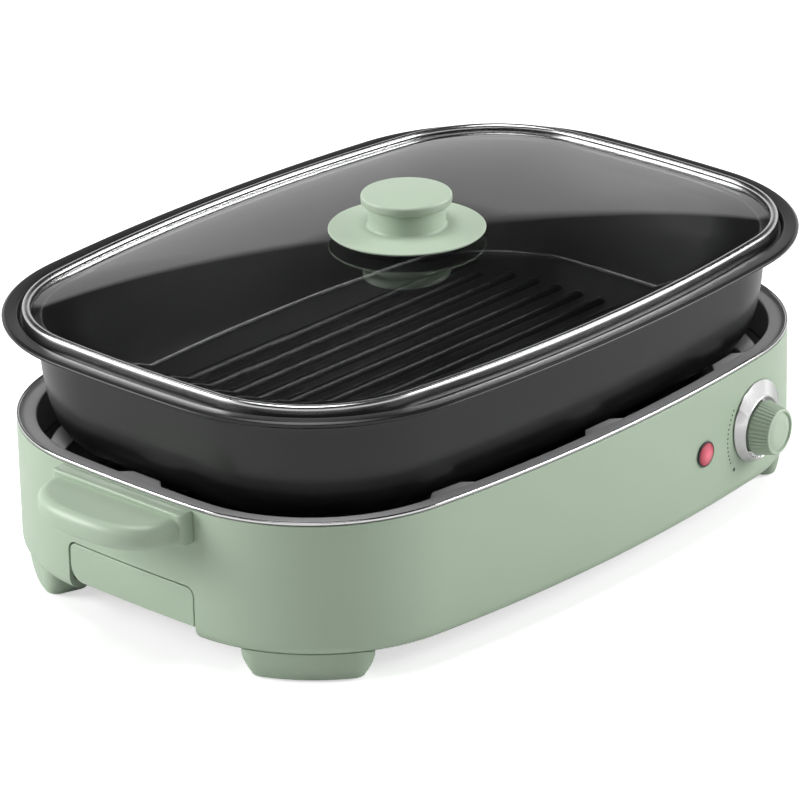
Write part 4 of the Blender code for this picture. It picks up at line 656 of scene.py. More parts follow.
def extend(bm, verts, points):
    """Extrude a loop of vertices and move the new loop onto the points."""
    made = bmesh.ops.extrude_edge_only(bm, edges=loop_edges(bm, verts))["geom"]
    new = {item for item in made if isinstance(item, bmesh.types.BMVert)}
    moved = []
    for vert, point in zip(verts, points):
        twin = next(e.other_vert(vert) for e in vert.link_edges if e.other_vert(vert) in new)
        twin.co = point
        moved.append(twin)
    return moved


def loft(loops, closed=False):
    """A skin through loops of points that match one to one. A closed one ends on its first loop,
    any other is filled at both ends."""
    bm = bmesh.new()
    first = last = add_loop(bm, loops[0])
    for points in loops[1:] + (loops[:1] if closed else []):
        last = extend(bm, last, points)
    if closed:
        bmesh.ops.remove_doubles(bm, verts=bm.verts, dist=MERGE)
    else:
        for verts in (first, last):
            bmesh.ops.edgeloop_fill(bm, edges=loop_edges(bm, verts))
    return bm


def plan_loops(plan, section):
    return [[(p.x, p.y, z) for p in plan.loop(inset)] for inset, z in section]


def ring_mesh(plan, section):
    """A ring: the closed section carried round the plan."""
    return loft(plan_loops(plan, section), closed=True)


def dish_mesh(plan, section):
    """A dish: the section carried round the plan, with its first and last loops filled."""
    return loft(plan_loops(plan, section))


def turned_mesh(section, steps=TURN_STEPS, closed=False):
    """A section of (radius, height) turned about Z. An open one starts and ends on the axis."""
    bm = bmesh.new()
    verts = [bm.verts.new((radius, 0, z)) for radius, z in section]
    pairs = list(zip(verts, verts[1:]))
    if closed:
        pairs.append((verts[-1], verts[0]))
    edges = [bm.edges.new(pair) for pair in pairs]
    bmesh.ops.spin(
        bm,
        geom=verts + edges,
        cent=(0, 0, 0),
        axis=(0, 0, 1),
        angle=2 * math.pi,
        steps=steps,
        use_merge=True,
    )
    bmesh.ops.remove_doubles(bm, verts=bm.verts, dist=MERGE)
    return bm


def rod_mesh(radius, first, last, steps=TURN_STEPS):
    """A round rod on Z between two heights."""
    return turned_mesh([(0, first), (radius, first), (radius, last), (0, last)], steps)


def collar_mesh(bore, radius, top, bottom, top_round, bottom_round):
    """A flat ring on Z with rounded outer edges."""
    outer = [(radius, top, top_round), (radius, bottom, bottom_round)]
    return turned_mesh(soften([(bore, top, 0), *outer, (bore, bottom, 0)]), closed=True)


def box_mesh(low, high):
    bm = bmesh.new()
    bmesh.ops.create_cube(bm, size=1)
    low, high = Vector(low), Vector(high)
    bmesh.ops.scale(bm, vec=high - low, verts=bm.verts)
    bmesh.ops.translate(bm, vec=(low + high) * HALF, verts=bm.verts)
    return bm


def bevel(bm, edges, radius, segments):
    bmesh.ops.bevel(
        bm,
        geom=edges,
        offset=radius,
        offset_type="OFFSET",
        segments=segments,
        profile=0.5,
        affect="EDGES",
        material=-1,
    )


def rounded_box(low, high, radius):
    """A box with every edge rounded."""
    bm = box_mesh(low, high)
    bevel(bm, list(bm.edges), radius, SMALL_EDGE_STEPS)
    return bm


def prism_mesh(points, low, high):
    """An upright prism over a list of (x, y)."""
    return loft([[(x, y, z) for x, y in points] for z in (low, high)])


def bar_mesh(points, low, high):
    """A bar along X over a list of (y, z)."""
    return loft([[(x, y, z) for y, z in points] for x in (low, high)])


def place(bm, matrix):
    bmesh.ops.transform(bm, matrix=matrix, verts=bm.verts)
    return bm


def merge_meshes(parts):
    """Several closed meshes in one bmesh."""
    whole = bmesh.new()
    for part in parts:
        mesh = bpy.data.meshes.new("part")
        part.to_mesh(mesh)
        part.free()
        whole.from_mesh(mesh)
        bpy.data.meshes.remove(mesh)
    return whole


def shade(mesh):
    """Smooth faces, with the steeper edges kept sharp."""
    mesh.shade_smooth()
    mesh.set_sharp_from_angle(angle=math.radians(SHARP_DEG))


def to_object(name, bm):
    bmesh.ops.recalc_face_normals(bm, faces=bm.faces)
    mesh = bpy.data.meshes.new(name)
    bm.to_mesh(mesh)
    bm.free()
    shade(mesh)
    made = bpy.data.objects.new(name, mesh)
    bpy.context.scene.collection.objects.link(made)
    return made


def combine(target, bm, operation):
    """An EXACT Boolean, applied at once."""
    helper = to_object(target.name + "_helper", bm)
    modifier = target.modifiers.new("cut", "BOOLEAN")
    modifier.operation = operation
    modifier.object = helper
    modifier.solver = "EXACT"
    graph = bpy.context.evaluated_depsgraph_get()
    graph.update()
    mesh = bpy.data.meshes.new_from_object(target.evaluated_get(graph))
    mesh.name = target.name
    old = target.data
    target.modifiers.remove(modifier)
    target.data = mesh
    bpy.data.meshes.remove(old)
    helper_mesh = helper.data
    bpy.data.objects.remove(helper)
    bpy.data.meshes.remove(helper_mesh)
    shade(mesh)


def cut(target, *parts):
    """Take closed meshes out of a piece."""
    combine(target, merge_meshes(parts), "DIFFERENCE")


def dress(made, body, slot, *nodes, look=None):
    """Give a piece the finish of its slot, unless another is given, put it on its body and hide the
    nodes that it stands for."""
    made.data.materials.clear()
    made.data.materials.append(look or SLOT_LOOKS[slot])
    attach(made, body)
    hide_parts(*nodes)


def add(name, bm, body, slot, *nodes, look=None):
    """Make and dress a piece. It stands for the node of its own name, unless others are given."""
    dress(to_object(name + "_look", bm), body, slot, *(nodes or [name]), look=look)


# Materials


def set_inputs(shader, values):
    """Give inputs of a shader node their values. A value may be another node's output."""
    for key, value in values.items():
        socket = shader.inputs[key]
        if isinstance(value, bpy.types.NodeSocket):
            shader.id_data.links.new(value, socket)
        else:
            socket.default_value = value


def node(tree, kind, inputs=None, **settings):
    made = tree.nodes.new(kind)
    for key, value in settings.items():
        setattr(made, key, value)
    set_inputs(made, inputs or {})
    return made


def object_place(tree):
    """The object's own coordinates, by one node in each tree."""
    found = tree.nodes.get("Place") or node(tree, "ShaderNodeTexCoord", name="Place")
    return found.outputs["Object"]


def noise(tree, scale, detail=2.0):
    """Noise over the object's own coordinates."""
    values = {"Scale": scale, "Detail": detail, "Vector": object_place(tree)}
    return node(tree, "ShaderNodeTexNoise", values).outputs["Fac"]


def ranged(tree, value, low, high, source_low=NOISE_LOW, source_high=NOISE_HIGH):
    """A value carried from its source range to the range from low to high."""
    values = {"Value": value, "From Min": source_low, "From Max": source_high}
    values.update({"To Min": low, "To Max": high})
    return node(tree, "ShaderNodeMapRange", values).outputs["Result"]


def mixed(tree, choice, first, second, kind="FLOAT"):
    """The first where the choice is nothing, the second where it is one."""
    values = {"Factor": choice, "A": first, "B": second}
    return node(tree, "ShaderNodeMix", values, data_type=kind).outputs["Result"]


def any_ray(tree, *kinds):
    """One for rays of any of these kinds, and nothing for the rest."""
    path = node(tree, "ShaderNodeLightPath")
    found = path.outputs[kinds[0]]
    for kind in kinds[1:]:
        both = node(tree, "ShaderNodeMath", {0: found, 1: path.outputs[kind]}, operation="MAXIMUM")
        found = both.outputs["Value"]
    return found


def new_material(name):
    """A material with its node tree and its shader."""
    made = bpy.data.materials.new(name)
    made.use_nodes = True
    return made, made.node_tree, made.node_tree.nodes["Principled BSDF"]


def finish(
    name,
    colour,
    roughness,
    metallic=0.0,
    mottle=0.05,
    cloud=18.0,
    spread=0.05,
    grain=1400.0,
    grain_depth=0.00002,
    grain_strength=0.25,
    specular=0.5,
):
    """A surface with a faint cloudy colour, an uneven gloss and a fine grain."""
    made, tree, shader = new_material(name)
    dark = (*(c * (1 - mottle) for c in colour), 1)
    light = (*(min(1.0, c * (1 + mottle)) for c in colour), 1)
    clouds = ranged(tree, noise(tree, cloud, CLOUD_DETAIL), 0.0, 1.0)
    wear = noise(tree, cloud * WEAR_FINENESS, WEAR_DETAIL)
    grains = {"Strength": grain_strength, "Distance": grain_depth}
    grains["Height"] = noise(tree, grain, GRAIN_DETAIL)
    set_inputs(
        shader,
        {
            "Metallic": metallic,
            "Specular IOR Level": specular,
            "Base Color": mixed(tree, clouds, dark, light, "RGBA"),
            "Roughness": ranged(tree, wear, roughness - spread, roughness + spread),
            "Normal": node(tree, "ShaderNodeBump", grains).outputs["Normal"],
        },
    )
    return made


def bright_metal(name, grey, roughness, spread, grain_strength):
    """Polished grey metal."""
    return finish(
        name,
        (grey, grey, grey),
        roughness,
        metallic=1.0,
        mottle=0.02,
        spread=spread,
        grain_strength=grain_strength,
    )


def pan_coat(name, roughness, specular):
    """Black non-stick coat with next to no grain."""
    return finish(
        name,
        (0.0075, 0.0075, 0.0078),
        roughness,
        mottle=0.10,
        cloud=20.0,
        spread=0.01,
        grain=900.0,
        grain_depth=0.000004,
        grain_strength=0.02,
        specular=specular,
    )


def sleeve_finish():
    """Coarse woven sleeve."""
    return finish(
        "sleeve_look",
        (0.52, 0.49, 0.44),
        0.8,
        mottle=0.2,
        cloud=300.0,
        grain=1500.0,
        grain_depth=0.0001,
        grain_strength=0.6,
    )


def lens_finish():
    """Red plastic, painted brighter and glowing in the middle and darker towards the rim: a painted
    highlight and glow in the middle, painted shade at the rim.
    """
    made = finish("red_lens_look", (0.62, 0.045, 0.085), 0.16, mottle=0.04, grain_strength=0.05)
    tree = made.node_tree
    ends = {0: object_place(tree), 1: LENS_PLACE.translation}
    away = node(tree, "ShaderNodeVectorMath", ends, operation="DISTANCE").outputs["Value"]
    near = ranged(tree, away, 1.0, 0.0, 0.0, LENS_RADIUS)
    # The colour runs from painted shade at the rim to a painted highlight in the middle, which also
    # glows
    painted_light = mixed(tree, near, LENS_PAINTED_RIM_SHADE, LENS_PAINTED_HIGHLIGHT, "RGBA")
    values = {"Base Color": painted_light, "Emission Color": painted_light, "Emission Strength": LENS_PAINTED_GLOW}
    set_inputs(tree.nodes["Principled BSDF"], values)
    return made


def glass_finish():
    """Clear tempered glass to the eye. Light and reflections pass straight through it to what lies
    below."""
    made, tree, shader = new_material("tempered_glass_look")
    clouds = ranged(tree, noise(tree, GLASS_CLOUD), 0.0, 1.0)
    tint = mixed(tree, clouds, GLASS_DARK, GLASS_BRIGHT, "RGBA")
    values = {"Transmission Weight": 1.0, "IOR": GLASS_IOR, "Base Color": tint, "Roughness": 0.0}
    set_inputs(shader, values)
    clear = node(tree, "ShaderNodeBsdfTransparent", {"Color": tint})
    passing = any_ray(tree, "Is Shadow Ray", "Is Reflection Ray")
    parts = {"Fac": passing, 1: shader.outputs["BSDF"], 2: clear.outputs["BSDF"]}
    both = node(tree, "ShaderNodeMixShader", parts)
    set_inputs(tree.nodes["Material Output"], {"Surface": both.outputs["Shader"]})
    return made


# The finish of each material slot
SLOT_LOOKS = {
    "sage_plastic": finish("sage_look", (0.40, 0.50, 0.38), 0.36, mottle=0.015, grain_strength=0.12),
    "pale_sage_plastic": finish(
        "pale_sage_look", (0.46, 0.56, 0.44), 0.44, mottle=0.015, grain_strength=0.15
    ),
    "chrome_trim": bright_metal("chrome_look", 0.70, 0.10, 0.03, 0.03),
    "steel": bright_metal("steel_look", 0.56, 0.22, 0.02, 0.02),
    "dark_plastic": finish("dark_plastic_look", (0.035, 0.035, 0.037), 0.5, mottle=0.08, grain=900.0),
    "nonstick_black": pan_coat("nonstick_look", 0.29, 0.5),
    "element_sheath": finish(
        "sheath_look", (0.17, 0.155, 0.145), 0.42, metallic=0.9, mottle=0.2, cloud=40.0
    ),
    "rubber_black": finish("rubber_look", (0.018, 0.018, 0.018), 0.72, mottle=0.1),
    "ceramic": finish("ceramic_look", (0.68, 0.64, 0.58), 0.6, mottle=0.06),
    "lamp_holder": finish("lamp_holder_look", (0.72, 0.69, 0.62), 0.45, mottle=0.04),
    "wire_sleeve": sleeve_finish(),
    "red_lens": lens_finish(),
    "tempered_glass": glass_finish(),
}

# Finishes of the pieces that differ from their slot's
LEDGE = finish("ledge_look", (0.46, 0.46, 0.465), 0.38, grain=2200.0, grain_strength=0.20)
RIB_COAT = pan_coat("rib_look", 0.31, 0.2)
SILVER = bright_metal("silver_look", 0.62, 0.20, 0.02, 0.03)
MARKS = finish("marks_look", (0.05, 0.07, 0.05), 0.6)


def dress_nodes():
    """Every node that stays visible gets the finish of its slot."""
    for entry in frame["record"]["subparts"]:
        materials = frame["nodes"][entry["node"]].data.materials
        look = SLOT_LOOKS[entry["material_slot"]]
        if not materials:
            materials.append(look)
        for i in range(len(materials)):
            materials[i] = look


# Base


def drawer_opening():
    """The block that cuts the opening for the drawer, its top corners rounded."""
    half = DRAWER_HALF_WIDTH + DRAWER_GAP
    top = DRAWER_TOP + DRAWER_GAP
    bottom = BODY_BOTTOM - OVERRUN
    radius = DRAWER_TOP_ROUND + DRAWER_GAP
    outline = soften([(-half, bottom, 0), (half, bottom, 0), (half, top, radius), (-half, top, radius)])
    return bar_mesh(outline, -BASE_HALF_LENGTH - OVERRUN, -BASE_HALF_LENGTH + NOTCH_DEPTH)


def housing_shell():
    """The wall and the bottom ring, open for the drawer, the dial, the lamp and the inlet."""
    section = soften(
        [
            (0, BODY_BOTTOM, SHELL_FILLET),
            (FLANGE_START, BODY_BOTTOM, SHELL_EDGE),
            (FLANGE_START, FLANGE_BOTTOM, 0),
            (FLANGE_END, FLANGE_BOTTOM, FLANGE_EDGE),
            (FLANGE_END, FLANGE_TOP, FLANGE_EDGE),
            (SHELL_WALL, FLANGE_TOP, SHELL_FILLET * HALF),
            (SHELL_WALL, SHELL_SHELF, 0),
            (SHELL_LIP_WIDTH, SHELL_SHELF, 0),
            (SHELL_LIP_WIDTH, SHELL_TOP, 0),
            (0, SHELL_TOP, SHELL_EDGE * HALF),
        ],
        steps=EDGE_STEPS + 1,
    )
    shell = to_object("housing_shell_look", ring_mesh(BASE, section))
    cut(shell, drawer_opening())
    through = SHELL_WALL + OVERRUN
    dial_hole = place(rod_mesh(BUSHING_RADIUS, OVERRUN, -through), DIAL_PLACE)
    lens_hole = place(rod_mesh(LENS_BARREL_RADIUS + GAP, OVERRUN, -through), LENS_PLACE)
    low = (-INLET_HALF_WIDTH - GAP, BASE_HALF_WIDTH - through, INLET_Z - INLET_HALF_HEIGHT - GAP)
    high = (INLET_HALF_WIDTH + GAP, BASE_HALF_WIDTH + OVERRUN, INLET_Z + INLET_HALF_HEIGHT + GAP)
    cut(shell, dial_hole, lens_hole, box_mesh(low, high))
    dress(shell, "base", "sage_plastic", "housing_shell", "housing_bottom_ring")


def rim_trim():
    low = RIM_TOP - TRIM_HEIGHT
    section = soften(
        [
            (0, low, TRIM_ROUND * HALF),
            (0, RIM_TOP, TRIM_ROUND),
            (TRIM_WIDTH, RIM_TOP, TRIM_ROUND),
            (TRIM_WIDTH, low, TRIM_ROUND * HALF),
        ]
    )
    add("rim_trim", ring_mesh(BASE, section), "base", "chrome_trim")


def well_section():
    """The ledge with its skirt inside, and a lip outside that goes under the trim."""
    lip_bottom = LEDGE_TOP - TRIM_HEIGHT * HALF - GAP
    under = LEDGE_TOP - LEDGE_THICKNESS
    trim_under = RIM_TOP - TRIM_HEIGHT - GAP
    return soften(
        [
            (LEDGE_START, lip_bottom, 0),
            (LEDGE_START, trim_under, 0),
            (TRIM_WIDTH + GAP, trim_under, 0),
            (TRIM_WIDTH + GAP, LEDGE_TOP, GAP),
            (LEDGE_WIDTH, LEDGE_TOP, LEDGE_ROUND),
            (LEDGE_WIDTH, SKIRT_BOTTOM, SKIRT_WALL * QUARTER_SHARE),
            (LEDGE_WIDTH - SKIRT_WALL, SKIRT_BOTTOM, SKIRT_WALL * QUARTER_SHARE),
            (LEDGE_WIDTH - SKIRT_WALL, under, 0),
            (SHELL_WALL + GAP, under, 0),
            (SHELL_WALL + GAP, lip_bottom, 0),
        ],
        steps=EDGE_STEPS - 1,
    )


def tab_mesh():
    """One tab, its tip towards +Y, with eased corners and a rounded top edge."""
    base = TAB_BASE_WIDTH * HALF
    tip = TAB_TIP_WIDTH * HALF
    ease = TAB_DEPTH * HALF
    root = SKIRT_WALL * HALF
    outline = soften(
        [
            (-base, -root, 0),
            (base, -root, 0),
            (base, 0, 0),
            (tip, TAB_DEPTH, ease),
            (-tip, TAB_DEPTH, ease),
            (-base, 0, 0),
        ]
    )
    tab = prism_mesh(outline, LEDGE_TOP - LEDGE_THICKNESS, LEDGE_TOP)
    rims = [e for e in tab.edges if all(v.co.z > LEDGE_TOP - MERGE for v in e.verts)]
    bevel(tab, rims, TAB_ROUND, SMALL_EDGE_STEPS)
    return tab


def tab_places():
    """Three tabs along each long side and one at each end: x, y and turn."""
    for x in (-TAB_PITCH, 0, TAB_PITCH):
        lean = math.asin(x / BASE_LONG_BOW)
        yield x, -BASE.side_y(x, LEDGE_WIDTH), lean
        yield x, BASE.side_y(x, LEDGE_WIDTH), math.pi - lean
    for side in (-1, 1):
        yield side * (BASE_HALF_LENGTH - LEDGE_WIDTH), 0, side * math.pi / 2


def well_ring():
    ring = to_object("well_ring_look", ring_mesh(BASE, well_section()))
    for x, y, turn in tab_places():
        matrix = Matrix.Translation((x, y, 0)) @ Matrix.Rotation(turn, 4, "Z")
        combine(ring, place(tab_mesh(), matrix), "UNION")
    dress(ring, "base", "dark_plastic", "well_ring", look=LEDGE)


def boss_places():
    """The cover's screws, at the same inset from the front and the back."""
    front = [(x, -BASE.side_y(x, BOSS_INSET)) for x in FRONT_BOSS_X]
    back = [(x, BASE.side_y(x, BOSS_INSET)) for x in BACK_BOSS_X]
    return front + back


def cover_cuts():
    """The drawer's notch, the vent slots and the screw holes."""
    low = BODY_BOTTOM - OVERRUN
    high = COVER_TOP + OVERRUN
    half = DRAWER_HALF_WIDTH + DRAWER_GAP
    yield box_mesh((-BASE_HALF_LENGTH, -half, low), (-BASE_HALF_LENGTH + NOTCH_DEPTH, half, high))
    radius = COVER_SLOT_WIDTH * HALF
    reach = COVER_SLOT_LENGTH * HALF - radius
    for y in centred(COVER_SLOT_COUNT, COVER_SLOT_PITCH):
        ends = (COVER_SLOT_X + reach, y), (COVER_SLOT_X - reach, y)
        yield prism_mesh(slot_outline(*ends, radius, -QUARTER_TURN), low, high)
    for x, y in boss_places():
        hole = rod_mesh(SCREW_RADIUS + GAP, low, high, SCREW_STEPS)
        yield place(hole, Matrix.Translation((x, y, 0)))


def bottom_cover():
    section = soften(
        [
            (COVER_START, COVER_TOP, 0),
            (COVER_START, BODY_BOTTOM, COVER_EDGE),
            (COVER_START + FLANGE_START, BODY_BOTTOM, 0),
        ],
        closed=False,
    )
    cover = to_object("bottom_cover_look", dish_mesh(BASE, section))
    cut(cover, *cover_cuts())
    dress(cover, "base", "dark_plastic", "bottom_cover")


def corner_names():
    for name_y, side_y in (("front", -1), ("back", 1)):
        for name_x, side_x in (("left", -1), ("right", 1)):
            yield name_y + "_" + name_x, side_x, side_y


def screw(name, body, place_at, tip, head_radius, head_top, head_low):
    """A screw with its head down: its tip and shank, a round head and a cross recess in it."""
    matrix = Matrix.Translation(place_at)
    height = head_top - head_low
    head = [(head_radius * cos, head_top - height * sin) for sin, cos in quarter_steps()]
    section = [*tip, (tip[-1][0], head_top), *head[:-1], (0, head_low)]
    made = to_object(name + "_look", place(turned_mesh(section, SCREW_STEPS), matrix))
    sizes = SCREW_SLOT_LENGTH * HALF, SCREW_SLOT_WIDTH * HALF
    for x, y in (sizes, sizes[::-1]):
        bar = box_mesh((-x, -y, head_low - OVERRUN), (x, y, head_low + SCREW_SLOT_DEPTH))
        cut(made, place(bar, matrix))
    dress(made, body, "steel", name)


def cover_screws():
    end = COVER_SCREW_LENGTH
    tip = [(0, end), (SCREW_RADIUS * HALF, end), (SCREW_RADIUS, end - SCREW_RADIUS)]
    for (side, *_), (x, y) in zip(corner_names(), boss_places()):
        place_at = (x, y, BODY_BOTTOM - GAP)
        screw("cover_screw_" + side, "base", place_at, tip, SCREW_HEAD_RADIUS, 0, -SCREW_HEAD)


def foot_outline(inset, end_inset=0.0):
    """The foot seen from above, about the corner's centre, its four corners rounded."""
    outer = BASE_CORNER - FOOT_TOP_INSET
    inner = outer - FOOT_WIDTH
    middle = (outer + inner) * HALF
    start = math.radians(FOOT_START_DEG) * middle + inset + end_inset
    end = math.radians(FOOT_END_DEG) * middle - inset - end_inset
    corner = max(FOOT_CORNER - inset, FOOT_EDGE)
    outline = soften(
        [
            (start, inner + inset, corner),
            (end, inner + inset, corner),
            (end, outer - inset, corner),
            (start, outer - inset, corner),
        ],
        steps=WIDE_ROUND_STEPS,
    )
    bent = []
    for p in resample(outline, FOOT_POINTS):
        bent.append((p.y * math.cos(p.x / middle), p.y * math.sin(p.x / middle)))
    return bent


def under_shell(x, y):
    """Height of the shell's underside at a point given from the corner's centre."""
    inset = BASE_CORNER - math.hypot(x, y)
    if inset >= SHELL_FILLET:
        return BODY_BOTTOM - FOOT_GAP
    across = SHELL_FILLET - inset
    return BODY_BOTTOM + SHELL_FILLET - math.sqrt(SHELL_FILLET**2 - across**2) - FOOT_GAP


def foot_mesh():
    """A foot about the corner's centre, which flares into the shell's rounded bottom."""
    loops = []
    for sin, cos in quarter_steps():
        outline = foot_outline(FOOT_DRAFT + FOOT_EDGE * (1 - sin), FOOT_END_FLARE)
        loops.append([(x, y, FOOT_LOW + FOOT_EDGE * (1 - cos)) for x, y in outline])
    low = FOOT_LOW + FOOT_EDGE
    for k in range(1, FOOT_FLARE_STEPS):
        share = k / FOOT_FLARE_STEPS
        flare = (1 - share) ** FOOT_FLARE_POWER
        outline = foot_outline(FOOT_DRAFT * flare, FOOT_END_FLARE * flare)
        loops.append([(x, y, low + (under_shell(x, y) - low) * share) for x, y in outline])
    loops.append([(x, y, under_shell(x, y)) for x, y in foot_outline(0)])
    return loft(loops)


def foot(name, at, pad_at, mirror):
    """A foot with a seat under it for its pad."""
    made = to_object("foot_%s_look" % name, place(foot_mesh(), at @ mirror))
    seat = rod_mesh(PAD_RADIUS + GAP, FOOT_LOW + PAD_SEAT_DEPTH, FOOT_LOW - OVERRUN)
    cut(made, place(seat, pad_at))
    dress(made, "base", "sage_plastic", "foot_" + name)


def foot_pad(name, pad_at):
    edge = [(PAD_RADIUS, PAD_HEIGHT, PAD_ROUND), (PAD_RADIUS, 0, PAD_ROUND)]
    pad = turned_mesh(soften([(0, PAD_HEIGHT, 0), *edge, (0, 0, 0)], closed=False))
    add("foot_pad_" + name, place(pad, pad_at), "base", "rubber_black")


def feet():
    """A foot and its pad near each corner of the base."""
    middle = math.radians(FOOT_START_DEG + FOOT_END_DEG) * HALF
    reach = BASE_CORNER - FOOT_TOP_INSET - FOOT_WIDTH * HALF
    for name, side_x, side_y in corner_names():
        at = Vector((side_x * BASE.corner_centre.x, side_y * BASE.corner_centre.y, 0))
        away = Vector((side_x * math.cos(middle), side_y * math.sin(middle), 0)) * reach
        pad_at = Matrix.Translation(at + away)
        foot(name, Matrix.Translation(at), pad_at, Matrix.Diagonal((side_x, side_y, 1, 1)))
        foot_pad(name, pad_at)


# Handles and drawer


def handle_block(side):
    """The block against the wall, its outer and upright edges rounded."""
    inner = BASE_HALF_LENGTH - OVERRUN
    outline = soften(
        [
            (inner, -HANDLE_HALF_WIDTH, 0),
            (HANDLE_BLOCK_X, -HANDLE_HALF_WIDTH, HANDLE_BLOCK_ROUND),
            (HANDLE_BLOCK_X, HANDLE_HALF_WIDTH, HANDLE_BLOCK_ROUND),
            (inner, HANDLE_HALF_WIDTH, 0),
        ]
    )
    block = prism_mesh([(side * x, y) for x, y in outline], HANDLE_BLOCK_BOTTOM, HANDLE_BLOCK_TOP)
    rims = []
    for edge in block.edges:
        first, second = (v.co for v in edge.verts)
        if abs(first.z - second.z) < MERGE and max(abs(first.x), abs(second.x)) >= inner + MERGE:
            rims.append(edge)
    bevel(block, rims, HANDLE_EDGE, BLOCK_EDGE_STEPS)
    return block


def ear_loop(side, inset, z):
    """The ear's outline: a flattened half-oval, closed straight across inside the block."""
    points = []
    half = EAR_HALF_WIDTH - inset
    reach = EAR_REACH_X - EAR_ROOT_X - inset
    share = 2 / EAR_POWER_SHARE
    for i in range(EAR_STEPS + 1):
        angle = math.pi * i / EAR_STEPS
        cos, sin = math.cos(angle), math.sin(angle)
        across = -math.copysign(abs(cos) ** share, cos) * half
        out = abs(sin) ** share * reach
        points.append((side * (EAR_ROOT_X + out), across, z))
    return points


def ear_mesh(side):
    loops = []
    for sin, cos in quarter_steps(EAR_EDGE_STEPS):
        loops.append(ear_loop(side, EAR_ROUND * (1 - sin), EAR_BOTTOM + EAR_ROUND * (1 - cos)))
    for sin, cos in quarter_steps(EAR_EDGE_STEPS):
        loops.append(ear_loop(side, EAR_ROUND * (1 - cos), EAR_TOP - EAR_ROUND * (1 - sin)))
    return loft(loops)


def end_handle(name, side):
    """A block and an ear in one, cut back to the wall."""
    made = to_object("handle_%s_look" % name, handle_block(side))
    combine(made, ear_mesh(side), "UNION")
    cut(made, dish_mesh(BASE, [(-GAP, BODY_BOTTOM), (-GAP, RIM_TOP + OVERRUN)]))
    dress(made, "base", "sage_plastic", "handle_" + name)


def drawer_front():
    """The part of a rounded block that lies in a band along the wall."""
    half = DRAWER_HALF_WIDTH
    outline = soften(
        [
            (-half, DRAWER_BOTTOM, DRAWER_EDGE),
            (half, DRAWER_BOTTOM, DRAWER_LOW_ROUND),
            (half, DRAWER_TOP, DRAWER_TOP_ROUND),
            (-half, DRAWER_TOP, DRAWER_TOP_ROUND),
        ],
        steps=WIDE_ROUND_STEPS,
    )
    block = bar_mesh(outline, -BASE_HALF_LENGTH - OVERRUN, -BASE_HALF_LENGTH + DRAWER_BLOCK_DEPTH)
    front = to_object("drawer_front_look", block)
    inner = DRAWER_RECESS + DRAWER_FRONT_THICKNESS
    low = DRAWER_BOTTOM - OVERRUN
    high = DRAWER_TOP + OVERRUN
    band = ring_mesh(BASE, [(DRAWER_RECESS, low), (DRAWER_RECESS, high), (inner, high), (inner, low)])
    combine(front, band, "INTERSECT")
    modifier = front.modifiers.new("edges", "BEVEL")
    modifier.width = DRAWER_EDGE
    modifier.segments = SMALL_EDGE_STEPS
    modifier.limit_method = "ANGLE"
    modifier.angle_limit = math.radians(BEVEL_DEG)
    dress(front, "drawer", "sage_plastic", "drawer_front")


def tray_level(inset, z):
    """The tray's outline at a height, with rounded corners."""
    radius = max(TRAY_CORNER - inset, TRAY_WALL)
    low_x = TRAY_FRONT_X + inset
    high_x = TRAY_BACK_X - inset
    half = TRAY_HALF_WIDTH - inset
    corners = ((low_x, -half), (high_x, -half), (high_x, half), (low_x, half))
    outline = soften([(x, y, radius) for x, y in corners], steps=EDGE_STEPS + 1)
    return [(x, y, z) for x, y in outline]


def drawer_tray():
    """A thin open tray with a runner along each side."""
    outer = TRAY_FLOOR_ROUND
    inner = TRAY_FLOOR_ROUND - TRAY_WALL * HALF
    small = RUNNER_ROUND * HALF
    inside = TRAY_BOTTOM + TRAY_WALL
    loops = []
    for sin, cos in quarter_steps():
        loops.append(tray_level(outer * (1 - sin), TRAY_BOTTOM + outer * (1 - cos)))
    loops += [
        tray_level(0, TRAY_TOP - small),
        tray_level(small, TRAY_TOP),
        tray_level(TRAY_WALL - small, TRAY_TOP),
        tray_level(TRAY_WALL, TRAY_TOP - small),
    ]
    for sin, cos in quarter_steps():
        loops.append(tray_level(TRAY_WALL + inner * (1 - cos), inside + inner * (1 - sin)))
    made = to_object("drawer_tray_look", loft(loops))
    for side in (-1, 1):
        ends = (side * (TRAY_HALF_WIDTH - TRAY_WALL * HALF), side * (TRAY_HALF_WIDTH + RUNNER_WIDTH))
        low = (RUNNER_FRONT_X, min(ends), RUNNER_LOW)
        high = (TRAY_BACK_X - TRAY_CORNER, max(ends), RUNNER_TOP)
        combine(made, rounded_box(low, high, RUNNER_ROUND), "UNION")
    dress(made, "drawer", "dark_plastic", "drawer_tray")


# Dial, lamp and inlet


def knob_bezel():
    """A silver cup whose wide base stands a little above the knob's axis."""
    small = BEZEL_FACE_ROUND
    shoulder = BEZEL_REACH - small
    slope = QUARTER_TURN * HALF
    face = arc((BEZEL_FACE_RADIUS - small, shoulder), small, slope, slope + QUARTER_TURN, EDGE_STEPS)
    loops = [
        circle(BEZEL_BASE_RADIUS, GAP, BEZEL_BASE_RISE),
        circle(BEZEL_BASE_RADIUS, GAP + BEZEL_EDGE * HALF, BEZEL_BASE_RISE),
        circle(BEZEL_BASE_RADIUS - BEZEL_EDGE * QUARTER_SHARE, GAP + BEZEL_EDGE, BEZEL_BASE_RISE),
        circle(BEZEL_FACE_RADIUS + small, shoulder, small),
        *(circle(radius, z) for radius, z in face),
        circle(BEZEL_CUP_RADIUS, shoulder),
        circle(BEZEL_CUP_RADIUS, BEZEL_CUP_FLOOR),
        circle(BUSHING_RADIUS, BEZEL_CUP_FLOOR),
        circle(BUSHING_RADIUS, GAP),
    ]
    bezel = place(loft(loops, closed=True), DIAL_PLACE)
    add("knob_bezel", bezel, "base", "chrome_trim", look=SILVER)


